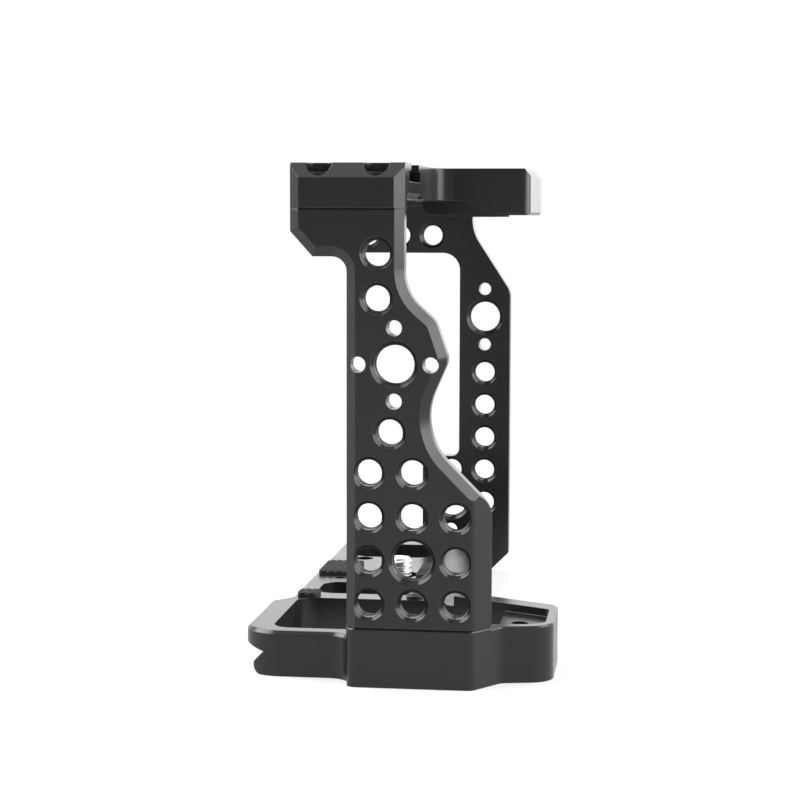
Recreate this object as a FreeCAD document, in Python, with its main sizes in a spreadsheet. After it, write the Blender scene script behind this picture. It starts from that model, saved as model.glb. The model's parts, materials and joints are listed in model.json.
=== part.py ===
import FreeCAD, Part
import os
import Sketcher

# A cage that goes round a mirrorless camera: a base, a side plate at each end, and a roof whose loop
# goes round the viewfinder hump. Lengths are in millimetres. Every piece is drawn from one corner:
# x runs along the camera from the outer face of the grip side plate, front runs forwards from the
# rear edge of the side plates, and z runs up from the table. A last step centres the cage.

SIZES = {
    # Room for a cut to run over, and the clearance of a screw or a dowel in its bore.
    "overrun": 2.0,
    "slip": 0.05,
    # Base: deck, quick-release rail and the block that the grip side plate stands on.
    "deck_height": 9.5,
    "deck_edge": 0.7,
    "rail_front": 17.8,
    "rail_rear": 19.1,
    "rail_lip": 1.25,
    "groove_roof": 5.9,
    "groove_depth": 3.1,
    "groove_fall": 0.9,
    "groove_gap": 6.4,
    "block_rise": 2.5,
    "block_edge": 0.3,
    "block_root": 4.5,
    "facet_run": 7.6,
    "facet_rise": 5.4,
    "facet_edge": 2.0,
    "seam_edge": 0.25,
    # Base: the two lobes that reach out under the grip.
    "rear_lobe_reach": 3.9,
    "rear_lobe_face": 7.2,
    "rear_lobe_corner": 8.0,
    "rear_lobe_gap": 4.2,
    "lobe_fall": 4.6,
    "lobe_blend": 2.5,
    "lobe_groove_roof": 6.2,
    "lobe_groove_depth": 4.65,
    "lobe_groove_fall": 1.25,
    "lobe_groove_lip": 2.2,
    "lobe_lip_round": 1.8,
    "front_lobe_reach": 10.3,
    "front_lobe_rise": 2.2,
    "front_lobe_lean": 2.2,
    "front_lobe_corner": 5.5,
    "front_lobe_far_gap": 11.8,
    "front_lobe_root_gap": 0.9,
    "front_lobe_tip": 3.5,
    "front_lobe_blend": 4.0,
    "front_lobe_start": 18.0,
    "front_lobe_wall": 1.7,
    "front_lobe_near_wall": 2.4,
    "front_lobe_far_wall": 5.7,
    "front_lobe_ledge": 10.0,
    "front_lobe_ledge_width": 11.5,
    "ledge_hole": 1.8,
    "ledge_hole_x": 20.0,
    "ledge_hole_inset": 7.5,
    # Base, from the grip end to the port end: openings, the bars between them, and small holes.
    "battery_start": 11.0,
    "battery_length": 32.6,
    "battery_rear_wall": 5.7,
    "battery_front_wall": 1.6,
    "battery_bar": 6.0,
    "middle_length": 13.8,
    "middle_rear_wall": 1.3,
    "middle_front_wall": 3.2,
    "middle_bar": 35.1,
    "port_open_length": 19.5,
    "port_open_margin": 13.5,
    "port_open_rear_wall": 2.4,
    "port_open_front_wall": 8.7,
    "opening_corner": 4.0,
    "locator_hole": 2.2,
    "locator_inset": 2.5,
    "locator_rear": 10.4,
    "near_locator_hole": 1.25,
    "near_locator_gap": 6.0,
    "near_locator_rear": 12.2,
    # Grip side plate.
    "grip_wall": 5.0,
    "grip_chamfer": 1.8,
    "grip_rear_chamfer": 2.0,
    "shoulder_reach": 11.4,
    "shoulder_drop": 9.4,
    "shoulder_cut": 4.5,
    "shoulder_cut_rise": 5.0,
    "shoulder_fillet": 3.0,
    "neck_margin": 5.35,
    "neck_rise": 14.3,
    "neck_corner": 10.0,
    "brow_set": 2.6,
    "brow_rise": 8.6,
    "brow_corner": 4.0,
    "nose_margin": 3.5,
    "nose_rise": 1.0,
    "nose_corner": 4.0,
    "waist_margin": 5.4,
    "waist_drop": 13.3,
    "waist_corner": 13.0,
    "skirt_margin": 6.85,
    "skirt_drop": 28.3,
    "skirt_corner": 6.0,
    # Holes that a quarter-inch or a three-eighths screw goes into, from the block upwards.
    "quarter_bore": 2.7,
    "quarter_ring": 3.4,
    "large_bore": 4.05,
    "large_ring": 4.85,
    "pin_bore": 1.6,
    "pin_circle": 7.3,
    "grid_front": 4.7,
    "grid_pitch": 8.8,
    "grid_rise": 5.0,
    "grid_row": 8.86,
    "lone_hole_front": 8.9,
    "lone_hole_rise": 8.12,
    "pinned_front": 9.8,
    "pinned_rise": 6.3,
    "upper_hole_front": 6.25,
    "upper_hole_rise": 5.8,
    "upper_hole_gap": 9.0,
    "grip_top_margin": 8.7,
    # Port side plate.
    "port_wall": 5.0,
    "port_drop": 3.3,
    "port_bar": 9.85,
    "port_bar_rear": 20.0,
    "port_bar_front": 12.9,
    "port_bar_corner": 2.0,
    "port_brow_drop": 4.3,
    "port_brow_corner": 11.0,
    "port_nose_rise": 6.85,
    "port_nose_corner": 4.0,
    "port_front_margin": 6.6,
    "port_strut_margin": 6.65,
    "port_foot_margin": 3.61,
    "port_window_corner": 4.5,
    "port_foot_corner": 2.0,
    "port_toe": 5.6,
    "port_edge": 0.5,
    "port_hole_drop": 5.25,
    "port_hole_front": 2.3,
    "port_hole_pitch": 8.58,
    "port_grid_height": 19.03,
    "port_row": 8.66,
    "port_pinned_front": 16.3,
    "port_pinned_rise": 7.38,
    # Roof: blocks over the side plates, bars and the loop.
    "grip_foot": 2.1,
    "roof_height": 7.1,
    "roof_front": 11.7,
    "roof_chamfer": 2.0,
    "roof_rear_chamfer": 2.0,
    "roof_slope": 3.0,
    "roof_slope_run": 2.6,
    "roof_under_edge": 1.1,
    "roof_block_length": 30.0,
    "roof_corner": 3.0,
    "bar_rear": 2.7,
    "port_block_length": 27.5,
    "port_foot": 2.5,
    "loop_width": 42.6,
    "loop_wall": 5.5,
    "loop_front": 33.1,
    "loop_front_wall": 6.4,
    "loop_drop": 3.25,
    "loop_corner": 2.25,
    "loop_root": 4.5,
    "loop_rear": 8.8,
    "loop_heel": 2.2,
    "loop_brow": 1.6,
    "loop_brow_depth": 1.3,
    "loop_under_edge": 0.6,
    "relief_depth": 0.8,
    "relief_height": 3.2,
    "relief_start": 17.8,
    "relief_end": 24.0,
    "relief_edge": 0.4,
    "relief_corner": 5.0,
    # Roof: an accessory shoe on each block, one open to the front and one to the rear.
    "shoe_width": 19.0,
    "shoe_throat": 12.6,
    "shoe_lip": 1.5,
    "shoe_slot": 2.15,
    "shoe_margin": 1.8,
    "shoe_stop": 8.0,
    "near_shoe_margin": 2.1,
    # Fasteners and dowels that hold the four frames together.
    "screw_shank": 1.25,
    "screw_head": 2.3,
    "screw_head_length": 2.0,
    "screw_socket": 0.9,
    "screw_socket_depth": 0.9,
    "screw_well": 2.7,
    "grip_screw_x": 3.0,
    "grip_screw_front": 6.0,
    "grip_screw_inset": 5.8,
    "grip_screw_sink": 3.9,
    "grip_screw_reach": 4.2,
    "base_screw_sink": 2.2,
    "base_screw_reach": 6.5,
    "port_screw_reach": 8.0,
    "port_roof_sink": 3.9,
    "port_roof_reach": 7.0,
    "port_base_front": 4.4,
    "port_base_gap": 8.8,
    "dowel": 0.8,
    "dowel_reach": 3.3,
    "grip_dowel_inset": 2.1,
    "grip_dowel_front": 0.3,
    "grip_base_dowel_inset": 1.4,
    "port_dowel_front": 10.2,
    # Tripod screw that holds the camera, and the clip that keeps the screw in the base.
    "camera_screw_gap": 11.6,
    "camera_front": 1.2,
    "camera_screw": 3.175,
    "camera_screw_tip": 4.2,
    "camera_screw_point": 0.6,
    "camera_screw_head": 5.9,
    "camera_screw_head_length": 2.3,
    "camera_screw_sink": 0.7,
    "camera_screw_slot": 1.3,
    "camera_screw_slot_depth": 1.1,
    "camera_screw_neck": 2.4,
    "camera_screw_relief": 0.35,
    "camera_screw_lift": 1.3,
    "camera_screw_web": 2.9,
    "head_gap": 0.4,
    "clip": 4.1,
    "clip_height": 0.6,
    "clip_mouth": 3.4,
    # Rubber pads that the camera rests on, and the pads under the loop.
    "pad_height": 1.0,
    "pad_inset": 0.5,
    "pad_corner": 1.0,
    "pad_rib": 0.9,
    "pad_rib_depth": 0.35,
    "rear_pad_gap": 3.0,
    "rear_pad_length": 15.0,
    "rear_pad_width": 8.9,
    "bar_pad_inset": 0.4,
    "bar_pad_width": 4.7,
    "front_pad_gap": 5.5,
    "front_pad_length": 17.0,
    "front_pad_rear": 5.7,
    "front_pad_width": 4.9,
    "port_pad_gap": 2.5,
    "port_pad_length": 7.5,
    "loop_pad_width": 4.0,
    "loop_pad_length": 10.6,
    "loop_pad_height": 0.4,
    "loop_pad_start": 14.8,
    # Button screw on the bar between the battery opening and the middle opening.
    "button_front": 8.4,
    "button_head": 1.9,
    "button_crown": 1.15,
    "button_head_length": 1.1,
    "button_shank": 1.0,
    "button_socket": 0.8,
    "button_reach": 5.0,
}


class Size:
    """A length as an expression on the sheet, and its value, which places sketch geometry."""

    def __init__(self, text, value):
        self.text = text
        self.value = float(value)

    def __add__(self, other):
        other = size(other)
        return Size(f"({self.text} + {other.text})", self.value + other.value)

    def __sub__(self, other):
        other = size(other)
        return Size(f"({self.text} - {other.text})", self.value - other.value)

    def __mul__(self, other):
        other = size(other)
        return Size(f"({self.text} * {other.text})", self.value * other.value)

    def __truediv__(self, other):
        other = size(other)
        return Size(f"({self.text} / {other.text})", self.value / other.value)

    def __neg__(self):
        return Size(f"(0 - {self.text})", -self.value) if self.value else self


def size(value):
    return value if isinstance(value, Size) else Size(repr(value), value)


doc = FreeCAD.newDocument("camera_cage")
sheet = doc.addObject("Spreadsheet::Sheet", "Sizes")
for row, (alias, value) in enumerate(SIZES.items(), 1):
    sheet.set(f"A{row}", alias)
    sheet.set(f"B{row}", str(value))
    sheet.setAlias(f"B{row}", alias)
doc.recompute()


class Named:
    """The sheet's cells by name: S.deck_height is the expression Sizes.deck_height."""

    def __getattr__(self, alias):
        return Size("Sizes." + alias, sheet.get(alias))


S = Named()
ZERO = Size("0", 0)
UP = FreeCAD.Vector(0, 0, 1)
SUBPARTS = []
match_share = 0.02


def bind(thing, **sizes):
    """Tie properties of an object to expressions on the sheet."""
    for name, value in sizes.items():
        thing.setExpression(name, size(value).text)
    return thing


def place(thing, x, y, z):
    """Tie an object's place to expressions on the sheet."""
    thing.setExpression("Placement.Base.x", size(x).text)
    thing.setExpression("Placement.Base.y", size(y).text)
    thing.setExpression("Placement.Base.z", size(z).text)
    return thing


def keep(thing, label):
    """Name a finished piece and move it from the corner datum to the centred frame."""
    thing.Label = label
    place(thing, -(cage_length / 2), (front_reach - rear_reach) / 2, ZERO)
    SUBPARTS.append(thing)
    return thing


# Sketches. A corner is (across, up, radius); in a side view across is minus front, because y runs
# to the rear, and in a plan view across is x and up is minus front.


def side(front, up, radius=ZERO):
    return (-size(front), size(up), size(radius))


def plan(x, front, radius=ZERO):
    return (size(x), -size(front), size(radius))


def plane_of(body, role):
    return next(item for item in body.Origin.OriginFeatures if item.Role == role)


def new_sketch(body, name, role, offset=ZERO):
    sketch = body.newObject("Sketcher::SketchObject", name)
    sketch.AttachmentSupport = [(plane_of(body, role), "")]
    sketch.MapMode = "FlatFace"
    sketch.setExpression("AttachmentOffset.Base.z", size(offset).text)
    return sketch


class Ties:
    """Constraints gathered for one sketch and added together, so that it is solved only once."""

    def __init__(self, sketch):
        self.sketch = sketch
        self.constraints = []
        self.texts = {}

    def add(self, kind, *places):
        self.constraints.append(Sketcher.Constraint(kind, *places))

    def measure(self, kind, value, *places):
        """Add a constraint whose length is an expression on the sheet."""
        self.texts[len(self.constraints)] = value.text
        self.add(kind, *places, value.value)

    def point(self, element, end, across, up):
        """Hold one point at two lengths from the sketch's origin."""
        for kind, axis, value in (("DistanceX", -2, across), ("DistanceY", -1, up)):
            if value.text == "0":
                self.add("PointOnObject", element, end, axis)
            else:
                self.measure(kind, value, -1, 1, element, end)

    def finish(self):
        self.sketch.addConstraint(self.constraints)
        for number, text in self.texts.items():
            self.sketch.setExpression(f"Constraints[{number}]", text)


def outlines(body, name, role, loops, offset=ZERO):
    """A sketch of closed loops of straight lines, each through its corners."""
    sketch = new_sketch(body, name, role, offset)
    ties = Ties(sketch)
    for corners in loops:
        points = [FreeCAD.Vector(across.value, up.value, 0) for across, up, _ in corners]
        lines = [
            sketch.addGeometry(Part.LineSegment(point, points[(index + 1) % len(points)]))
            for index, point in enumerate(points)
        ]
        for index, (across, up, _) in enumerate(corners):
            ties.add("Coincident", lines[index - 1], 2, lines[index], 1)
            ties.point(lines[index], 1, across, up)
    ties.finish()
    return sketch


def outline(body, name, role, corners, offset=ZERO):
    """A sketch of one closed loop of straight lines."""
    return outlines(body, name, role, [corners], offset)


def circles(body, name, role, places, offset=ZERO):
    """A sketch of circles: a place is (across, up, radius)."""
    sketch = new_sketch(body, name, role, offset)
    ties = Ties(sketch)
    for across, up, radius in places:
        centre = FreeCAD.Vector(across.value, up.value, 0)
        circle = sketch.addGeometry(Part.Circle(centre, UP, radius.value))
        ties.measure("Radius", radius, circle)
        ties.point(circle, 3, across, up)
    ties.finish()
    return sketch


# Features of a body.


def new_body(name):
    return doc.addObject("PartDesign::Body", name)


def settle(feature):
    """Recompute, and stop at a feature that failed."""
    doc.recompute()
    if "Invalid" in feature.State or feature.Shape.isNull():
        raise RuntimeError(f"{feature.Name} failed: {feature.State}")
    return feature


def pad(body, name, sketch, length):
    feature = body.newObject("PartDesign::Pad", name)
    feature.Profile = sketch
    bind(feature, Length=length)
    return settle(feature)


def cut_by(body, feature, before):
    """Settle a feature that cuts, and stop if it cut nothing."""
    settle(feature)
    if not feature.Shape.Volume < before:
        raise RuntimeError(f"{feature.Name} cuts nothing from {body.Name}")
    return feature


def pocket(body, name, sketch, length, reverse=False):
    """Cut a sketch into a body: against the sketch's normal, or along it if reversed."""
    before = body.Shape.Volume
    feature = body.newObject("PartDesign::Pocket", name)
    feature.Profile = sketch
    feature.Reversed = reverse
    bind(feature, Length=length)
    return cut_by(body, feature, before)


def hole(body, name, sketch, bore, ring, reverse=False):
    """Drill a sketch's circles right through a body, each with a countersunk mouth."""
    before = body.Shape.Volume
    feature = body.newObject("PartDesign::Hole", name)
    feature.Profile = sketch
    doc.recompute()
    feature.ThreadType = "None"
    feature.DepthType = "ThroughAll"
    feature.HoleCutType = "Countersink"
    feature.HoleCutCustomValues = True
    feature.HoleCutCountersinkAngle = 90
    feature.Reversed = reverse
    bind(feature, Diameter=bore * 2, HoleCutDiameter=ring * 2)
    return cut_by(body, feature, before)


def edges_where(feature, test):
    """The names of the edges of a feature whose box passes a test."""
    return [
        f"Edge{number}"
        for number, edge in enumerate(feature.Shape.Edges, 1)
        if test(edge.BoundBox)
    ]


def chamfer(body, name, feature, test, width):
    dressed = body.newObject("PartDesign::Chamfer", name)
    dressed.Base = (feature, edges_where(feature, test))
    bind(dressed, Size=width)
    return settle(dressed)


def fillet(body, name, feature, test, radius):
    dressed = body.newObject("PartDesign::Fillet", name)
    dressed.Base = (feature, edges_where(feature, test))
    bind(dressed, Radius=radius)
    return settle(dressed)


def near(value, target):
    """Whether a coordinate stands at a length."""
    return abs(value - target.value) < S.slip.value * match_share


def flat_at(box, target):
    """Whether an edge's box lies in the horizontal plane at a height."""
    return near(box.ZMin, target) and near(box.ZMax, target)


def rises_from(box, role, across, up):
    """Whether an edge stands square on a sketch's plane at one of its corners."""
    first, second = {"XY_Plane": "XY", "YZ_Plane": "YZ", "XZ_Plane": "XZ"}[role]
    places = ((first, across), (second, up))
    return all(near(getattr(box, axis + end), value) for axis, value in places for end in ("Min", "Max"))


def seam_edge(body, name, feature, height):
    """Break the near edge, and what runs on from it, where two pieces meet at a height."""

    def at_seam(box):
        return flat_at(box, height) and near(box.XMin, ZERO) and near(box.XMax, ZERO)

    return chamfer(body, name, feature, at_seam, S.seam_edge)


def round_corners(body, feature, role, corners):
    """Round the edges that rise from an outline's corners, one fillet for each radius."""
    stem = feature.Name
    radii = {radius.text: radius for _, _, radius in corners if radius.value}
    for number, (text, radius) in enumerate(radii.items(), 1):
        alike = [(across, up) for across, up, own in corners if own.text == text]
        feature = fillet(
            body,
            f"{stem}_round_{number}",
            feature,
            lambda box: any(rises_from(box, role, across, up) for across, up in alike),
            radius,
        )
    return feature


# Part primitives.


def solid_box(name, low, high):
    made = doc.addObject("Part::Box", name)
    bind(made, Length=high[0] - low[0], Width=high[1] - low[1], Height=high[2] - low[2])
    return place(made, *low)


def cylinder(name, radius, length, x, y, z):
    made = doc.addObject("Part::Cylinder", name)
    bind(made, Radius=radius, Height=length)
    return place(made, x, y, z)


def cone(name, low_radius, high_radius, length, x, y, z):
    made = doc.addObject("Part::Cone", name)
    bind(made, Radius1=low_radius, Radius2=high_radius, Height=length)
    return place(made, x, y, z)


def fuse(name, *pieces):
    made = doc.addObject("Part::MultiFuse", name)
    made.Shapes = list(pieces)
    return made


def cut(name, base, tool):
    made = doc.addObject("Part::Cut", name)
    made.Base = base
    made.Tool = tool
    return made


def group(name, pieces):
    made = doc.addObject("Part::Compound", name)
    made.Links = list(pieces)
    return made


# Places worked out from the sizes. Along the camera, from the grip end to the port end.

battery_end = S.battery_start + S.battery_length
middle_start = battery_end + S.battery_bar
middle_end = middle_start + S.middle_length
camera_x = middle_end + S.camera_screw_gap
port_open_start = middle_end + S.middle_bar
port_open_end = port_open_start + S.port_open_length
port_inner = port_open_end + S.port_open_margin
port_middle = port_inner + S.port_wall / 2
cage_length = port_inner + S.port_wall
battery_bar_middle = (battery_end + middle_start) / 2
locator_x = port_open_start - S.locator_inset
near_locator_x = camera_x - S.near_locator_gap
groove_start = battery_end + S.groove_gap
rear_lobe_end = battery_end - S.rear_lobe_gap
front_lobe_far = battery_end - S.front_lobe_far_gap
front_lobe_root = battery_end + S.front_lobe_root_gap
port_block_start = cage_length - S.port_block_length
loop_start = camera_x - S.loop_width / 2
loop_end = camera_x + S.loop_width / 2

# Front to rear.

nose_front = S.pinned_front + S.pin_circle + S.nose_margin
brow_front = nose_front - S.brow_set
neck_front = S.upper_hole_front + S.neck_margin
waist_front = S.lone_hole_front + S.waist_margin
skirt_front = S.grid_front + S.grid_pitch * 2 + S.skirt_margin
facet_start = skirt_front - S.facet_rise * S.grip_wall / S.facet_run
lobe_root = facet_start + S.facet_rise
front_reach = lobe_root + S.front_lobe_reach
rear_reach = S.rail_rear + S.rear_lobe_reach
ledge_start = front_reach - S.front_lobe_ledge_width
ledge_hole_front = front_reach - S.ledge_hole_inset
battery_rear = rear_reach - S.battery_rear_wall
battery_front = S.rail_front - S.battery_front_wall
front_well_start = battery_front - S.opening_corner
middle_rear = S.rail_rear - S.groove_depth - S.middle_rear_wall
middle_front = S.rail_front - S.groove_depth - S.middle_front_wall
port_open_rear = S.rail_rear - S.groove_depth - S.port_open_rear_wall
port_open_front = S.rail_front - S.groove_depth - S.port_open_front_wall
port_front = S.port_pinned_front + S.port_front_margin
port_strut_rear = S.port_pinned_front - S.port_strut_margin
port_second_front = S.port_pinned_front - S.port_row

# Heights, from the base upwards.

block_height = S.deck_height + S.block_rise
front_lobe_height = S.deck_height + S.front_lobe_rise
grid_height = block_height + S.grid_rise
lone_hole_height = grid_height + S.grid_row * 3 + S.lone_hole_rise
pinned_height = lone_hole_height + S.pinned_rise + S.pin_circle
upper_hole_low = pinned_height + S.pin_circle + S.upper_hole_rise
upper_hole_height = upper_hole_low + S.upper_hole_gap
grip_top = upper_hole_height + S.grip_top_margin
shoulder_height = grip_top - S.shoulder_drop
skirt_height = pinned_height - S.skirt_drop
waist_height = pinned_height - S.waist_drop
nose_height = pinned_height + S.nose_rise
brow_height = pinned_height + S.brow_rise
neck_end = pinned_height + S.neck_rise
roof_under = grip_top + S.grip_foot
roof_top = roof_under + S.roof_height
loop_under = roof_under - S.loop_drop
port_top = roof_under - S.port_drop
port_block_under = port_top + S.port_foot
port_hole_height = port_top - S.port_hole_drop
port_brow_height = port_top - S.port_brow_drop
port_foot_height = S.port_grid_height + S.port_row + S.port_foot_margin
port_column_height = S.port_grid_height + S.port_row * 4
port_pinned_height = port_column_height + S.port_pinned_rise + S.pin_circle
port_nose_height = port_pinned_height + S.port_nose_rise
shoe_floor = roof_top - S.shoe_lip - S.shoe_slot

# Places of screws and dowels: a screw stands half way between two holes of a row.

half_way_shares = (0.5, 1.5)
roof_dowel_places = [S.grip_dowel_inset - S.shoulder_reach, S.grip_dowel_front]
roof_screw_places = [S.grip_screw_inset - S.shoulder_reach, S.grip_screw_front]
grip_base_places = [S.grid_front + S.grid_pitch * share for share in half_way_shares]
grip_base_dowel_places = [S.grip_base_dowel_inset, facet_start - S.grip_base_dowel_inset]
port_roof_places = [S.port_hole_front - S.port_hole_pitch * share for share in half_way_shares]
port_base_places = [S.port_base_front, S.port_base_front + S.port_base_gap]
port_base_dowel = S.port_base_front + S.port_base_gap / 2
deck_middle = S.deck_height / 2

# Levels of the camera screw at rest, when it hangs by its clip.

screw_head_low = S.camera_screw_sink
screw_head_high = screw_head_low + S.camera_screw_head_length
screw_web_low = screw_head_high + S.camera_screw_lift
clip_floor = screw_web_low + S.camera_screw_web


# Base.


def base_outline():
    rear = rear_reach
    return [
        plan(ZERO, ZERO, S.grip_rear_chamfer),
        plan(S.rear_lobe_face, ZERO, S.block_root),
        plan(S.rear_lobe_face, -rear, S.rear_lobe_corner),
        plan(rear_lobe_end, -rear, S.lobe_blend),
        plan(rear_lobe_end + S.lobe_fall, -S.rail_rear, S.lobe_blend),
        plan(port_inner, -S.rail_rear, S.lobe_blend),
        plan(port_inner, S.rail_front),
        plan(front_lobe_root, S.rail_front, S.front_lobe_blend),
        plan(front_lobe_far, front_reach, S.front_lobe_tip),
        plan(S.facet_run + S.front_lobe_lean, front_reach, S.front_lobe_corner),
        plan(S.facet_run, lobe_root, S.block_root / 2),
        plan(ZERO, facet_start, S.facet_edge),
    ]


def front_lobe_slope(front):
    """Where the front lobe's slanting far edge stands, a given way forwards."""
    slant = (front_lobe_root - front_lobe_far) / (front_reach - S.rail_front)
    return front_lobe_root - (front - S.rail_front) * slant


def front_lobe_outline():
    """The raised rim of the front lobe, which starts beside the block."""
    return [
        plan(S.grip_wall, S.front_lobe_start),
        plan(front_lobe_slope(S.front_lobe_start), S.front_lobe_start),
        plan(front_lobe_far, front_reach, S.front_lobe_tip),
        plan(S.facet_run + S.front_lobe_lean, front_reach, S.front_lobe_corner),
        plan(S.facet_run, lobe_root, S.block_root / 2),
        plan(S.grip_wall, skirt_front),
    ]


def well_far(front):
    """The far wall of the hollow inside the front lobe's rim."""
    return front_lobe_slope(front) - S.front_lobe_far_wall


def front_well_outline():
    """The hollow inside the front lobe's rim, which opens into the battery opening."""
    near_wall = S.facet_run + S.front_lobe_near_wall
    inner_front = front_reach - S.front_lobe_wall
    return [
        plan(near_wall, front_well_start),
        plan(well_far(front_well_start), front_well_start),
        plan(well_far(inner_front), inner_front, S.front_lobe_tip / 2),
        plan(
            S.facet_run + S.front_lobe_lean + S.front_lobe_wall,
            inner_front,
            S.front_lobe_corner - S.front_lobe_wall,
        ),
        plan(near_wall, lobe_root),
    ]


def side_groove(edge, outward, roof, depth, fall, recess):
    """A groove in one long side: a nearly level roof, and a lower flank at 45 degrees."""
    lip = roof - fall - depth + recess
    reach = S.overrun
    way = ZERO - reach if outward < 0 else reach
    inward = depth if outward < 0 else -depth
    step = recess if outward < 0 else -recess
    return [
        side(edge + way, roof + reach * fall / depth),
        side(edge + inward, roof - fall),
        side(edge + step, lip),
        side(edge + step, -reach),
        side(edge + way, -reach),
    ]


def opening(body, name, start, end, rear, front):
    """A rounded opening right through the base."""
    corners = [
        plan(start, rear, S.opening_corner),
        plan(end, rear, S.opening_corner),
        plan(end, front, S.opening_corner),
        plan(start, front, S.opening_corner),
    ]
    sketch = outline(body, name + "_outline", "XY_Plane", corners, -S.overrun)
    made = pocket(body, name, sketch, block_height + S.overrun * 2, reverse=True)
    return round_corners(body, made, "XY_Plane", corners)


def base_plate():
    body = new_body("base_plate")
    corners = base_outline()
    pad(body, "deck", outline(body, "deck_outline", "XY_Plane", corners), S.deck_height)
    pad(body, "rim", outline(body, "rim_outline", "XY_Plane", front_lobe_outline()), front_lobe_height)
    block_corners = [
        plan(ZERO, ZERO),
        plan(S.grip_wall, ZERO),
        plan(S.grip_wall, skirt_front),
        plan(ZERO, facet_start),
    ]
    block = pad(body, "block", outline(body, "block_outline", "XY_Plane", block_corners), block_height)
    made = round_corners(body, block, "XY_Plane", corners)
    made = seam_edge(body, "block_seam", made, block_height)
    made = chamfer(
        body,
        "deck_edges",
        made,
        lambda box: flat_at(box, S.deck_height) and box.YMin > S.opening_corner.value,
        S.deck_edge,
    )
    chamfer(
        body,
        "rim_edges",
        made,
        lambda box: flat_at(box, front_lobe_height) and box.YMax < -facet_start.value
        and box.YMin < -ledge_start.value,
        S.block_edge,
    )
    opening(body, "battery_opening", S.battery_start, battery_end, -battery_rear, battery_front)
    opening(body, "middle_opening", middle_start, middle_end, -middle_rear, middle_front)
    opening(body, "port_opening", port_open_start, port_open_end, -port_open_rear, port_open_front)
    ledge_corners = front_well_outline()
    ledge = outline(body, "ledge_outline", "XY_Plane", ledge_corners, S.front_lobe_ledge)
    made = pocket(body, "ledge", ledge, front_lobe_height, reverse=True)
    round_corners(body, made, "XY_Plane", ledge_corners)
    well_corners = ledge_corners[:2] + [
        plan(well_far(ledge_start), ledge_start),
        plan(S.facet_run + S.front_lobe_near_wall, ledge_start),
    ]
    well = outline(body, "well_outline", "XY_Plane", well_corners, -S.overrun)
    pocket(body, "well", well, block_height + S.overrun * 2, reverse=True)
    rail = (S.groove_roof, S.groove_depth, S.groove_fall, S.rail_lip)
    lobe = (S.lobe_groove_roof, S.lobe_groove_depth, S.lobe_groove_fall, S.lobe_groove_lip)
    for name, edge, outward, form, start, length in (
        ("rear_groove", -S.rail_rear, -1, rail, groove_start, cage_length),
        ("front_groove", S.rail_front, 1, rail, groove_start, cage_length),
        ("lobe_groove", -rear_reach, -1, lobe, -S.overrun, groove_start),
    ):
        sketch = outline(body, name + "_outline", "YZ_Plane", side_groove(edge, outward, *form), start)
        made = pocket(body, name, sketch, length, reverse=True)
    lip_face = rear_reach - S.lobe_groove_lip
    fillet(
        body,
        "lobe_lip",
        made,
        lambda box: flat_at(box, ZERO) and near(box.YMin, lip_face) and near(box.YMax, lip_face),
        S.lobe_lip_round,
    )
    drill_base(body)
    return keep(body, "base_plate")


def drill_base(body):
    """The base's round holes: small locators, screw seats, dowels and the camera screw's seat."""
    camera = (camera_x, S.camera_front)
    block_screws = [(S.grip_screw_x, front) for front in grip_base_places]
    down = -S.overrun
    through = [
        plan(locator_x, -S.locator_rear, S.locator_hole),
        plan(near_locator_x, -S.near_locator_rear, S.near_locator_hole),
        plan(S.ledge_hole_x, ledge_hole_front, S.ledge_hole),
        plan(*camera, S.camera_screw + S.slip),
        plan(battery_bar_middle, S.button_front, S.button_shank + S.slip),
    ] + [plan(*place, S.screw_shank + S.slip) for place in block_screws]
    wells = [plan(*place, S.screw_well) for place in block_screws]
    head_well = [plan(*camera, S.camera_screw_head + S.head_gap)]
    clip_well = [plan(*camera, S.clip + S.head_gap)]
    block_dowels = [plan(S.grip_screw_x, front, S.dowel + S.slip) for front in grip_base_dowel_places]
    for name, places, low, length in (
        ("through_holes", through, down, block_height + S.overrun * 2),
        ("block_wells", wells, down, S.overrun + S.base_screw_sink + S.screw_head_length),
        ("head_well", head_well, down, S.overrun + screw_web_low),
        ("clip_well", clip_well, clip_floor, S.deck_height),
        ("block_dowels", block_dowels, block_height - S.dowel_reach, S.dowel_reach * 2),
    ):
        pocket(body, name, circles(body, name + "_circles", "XY_Plane", places, low), length, reverse=True)
    end_screws = [side(front, deck_middle, S.screw_shank + S.slip) for front in port_base_places]
    end_dowel = [side(port_base_dowel, deck_middle, S.dowel + S.slip)]
    for name, places, reach in (
        ("end_screws", end_screws, S.port_screw_reach),
        ("end_dowel", end_dowel, S.dowel_reach),
    ):
        sketch = circles(body, name + "_circles", "YZ_Plane", places, port_inner - reach)
        pocket(body, name, sketch, reach * 2, reverse=True)


# Side plates.


def tapped(body, name, places, low, high, bore, ring):
    """Tapped holes through an upright plate, countersunk from both of its faces."""
    for face, offset, reverse in (("low", low, True), ("high", high, False)):
        centres = [(across, up, bore) for across, up, _ in places]
        sketch = circles(body, f"{name}_{face}_circles", "YZ_Plane", centres, offset)
        hole(body, f"{name}_{face}", sketch, bore, ring, reverse)


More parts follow.
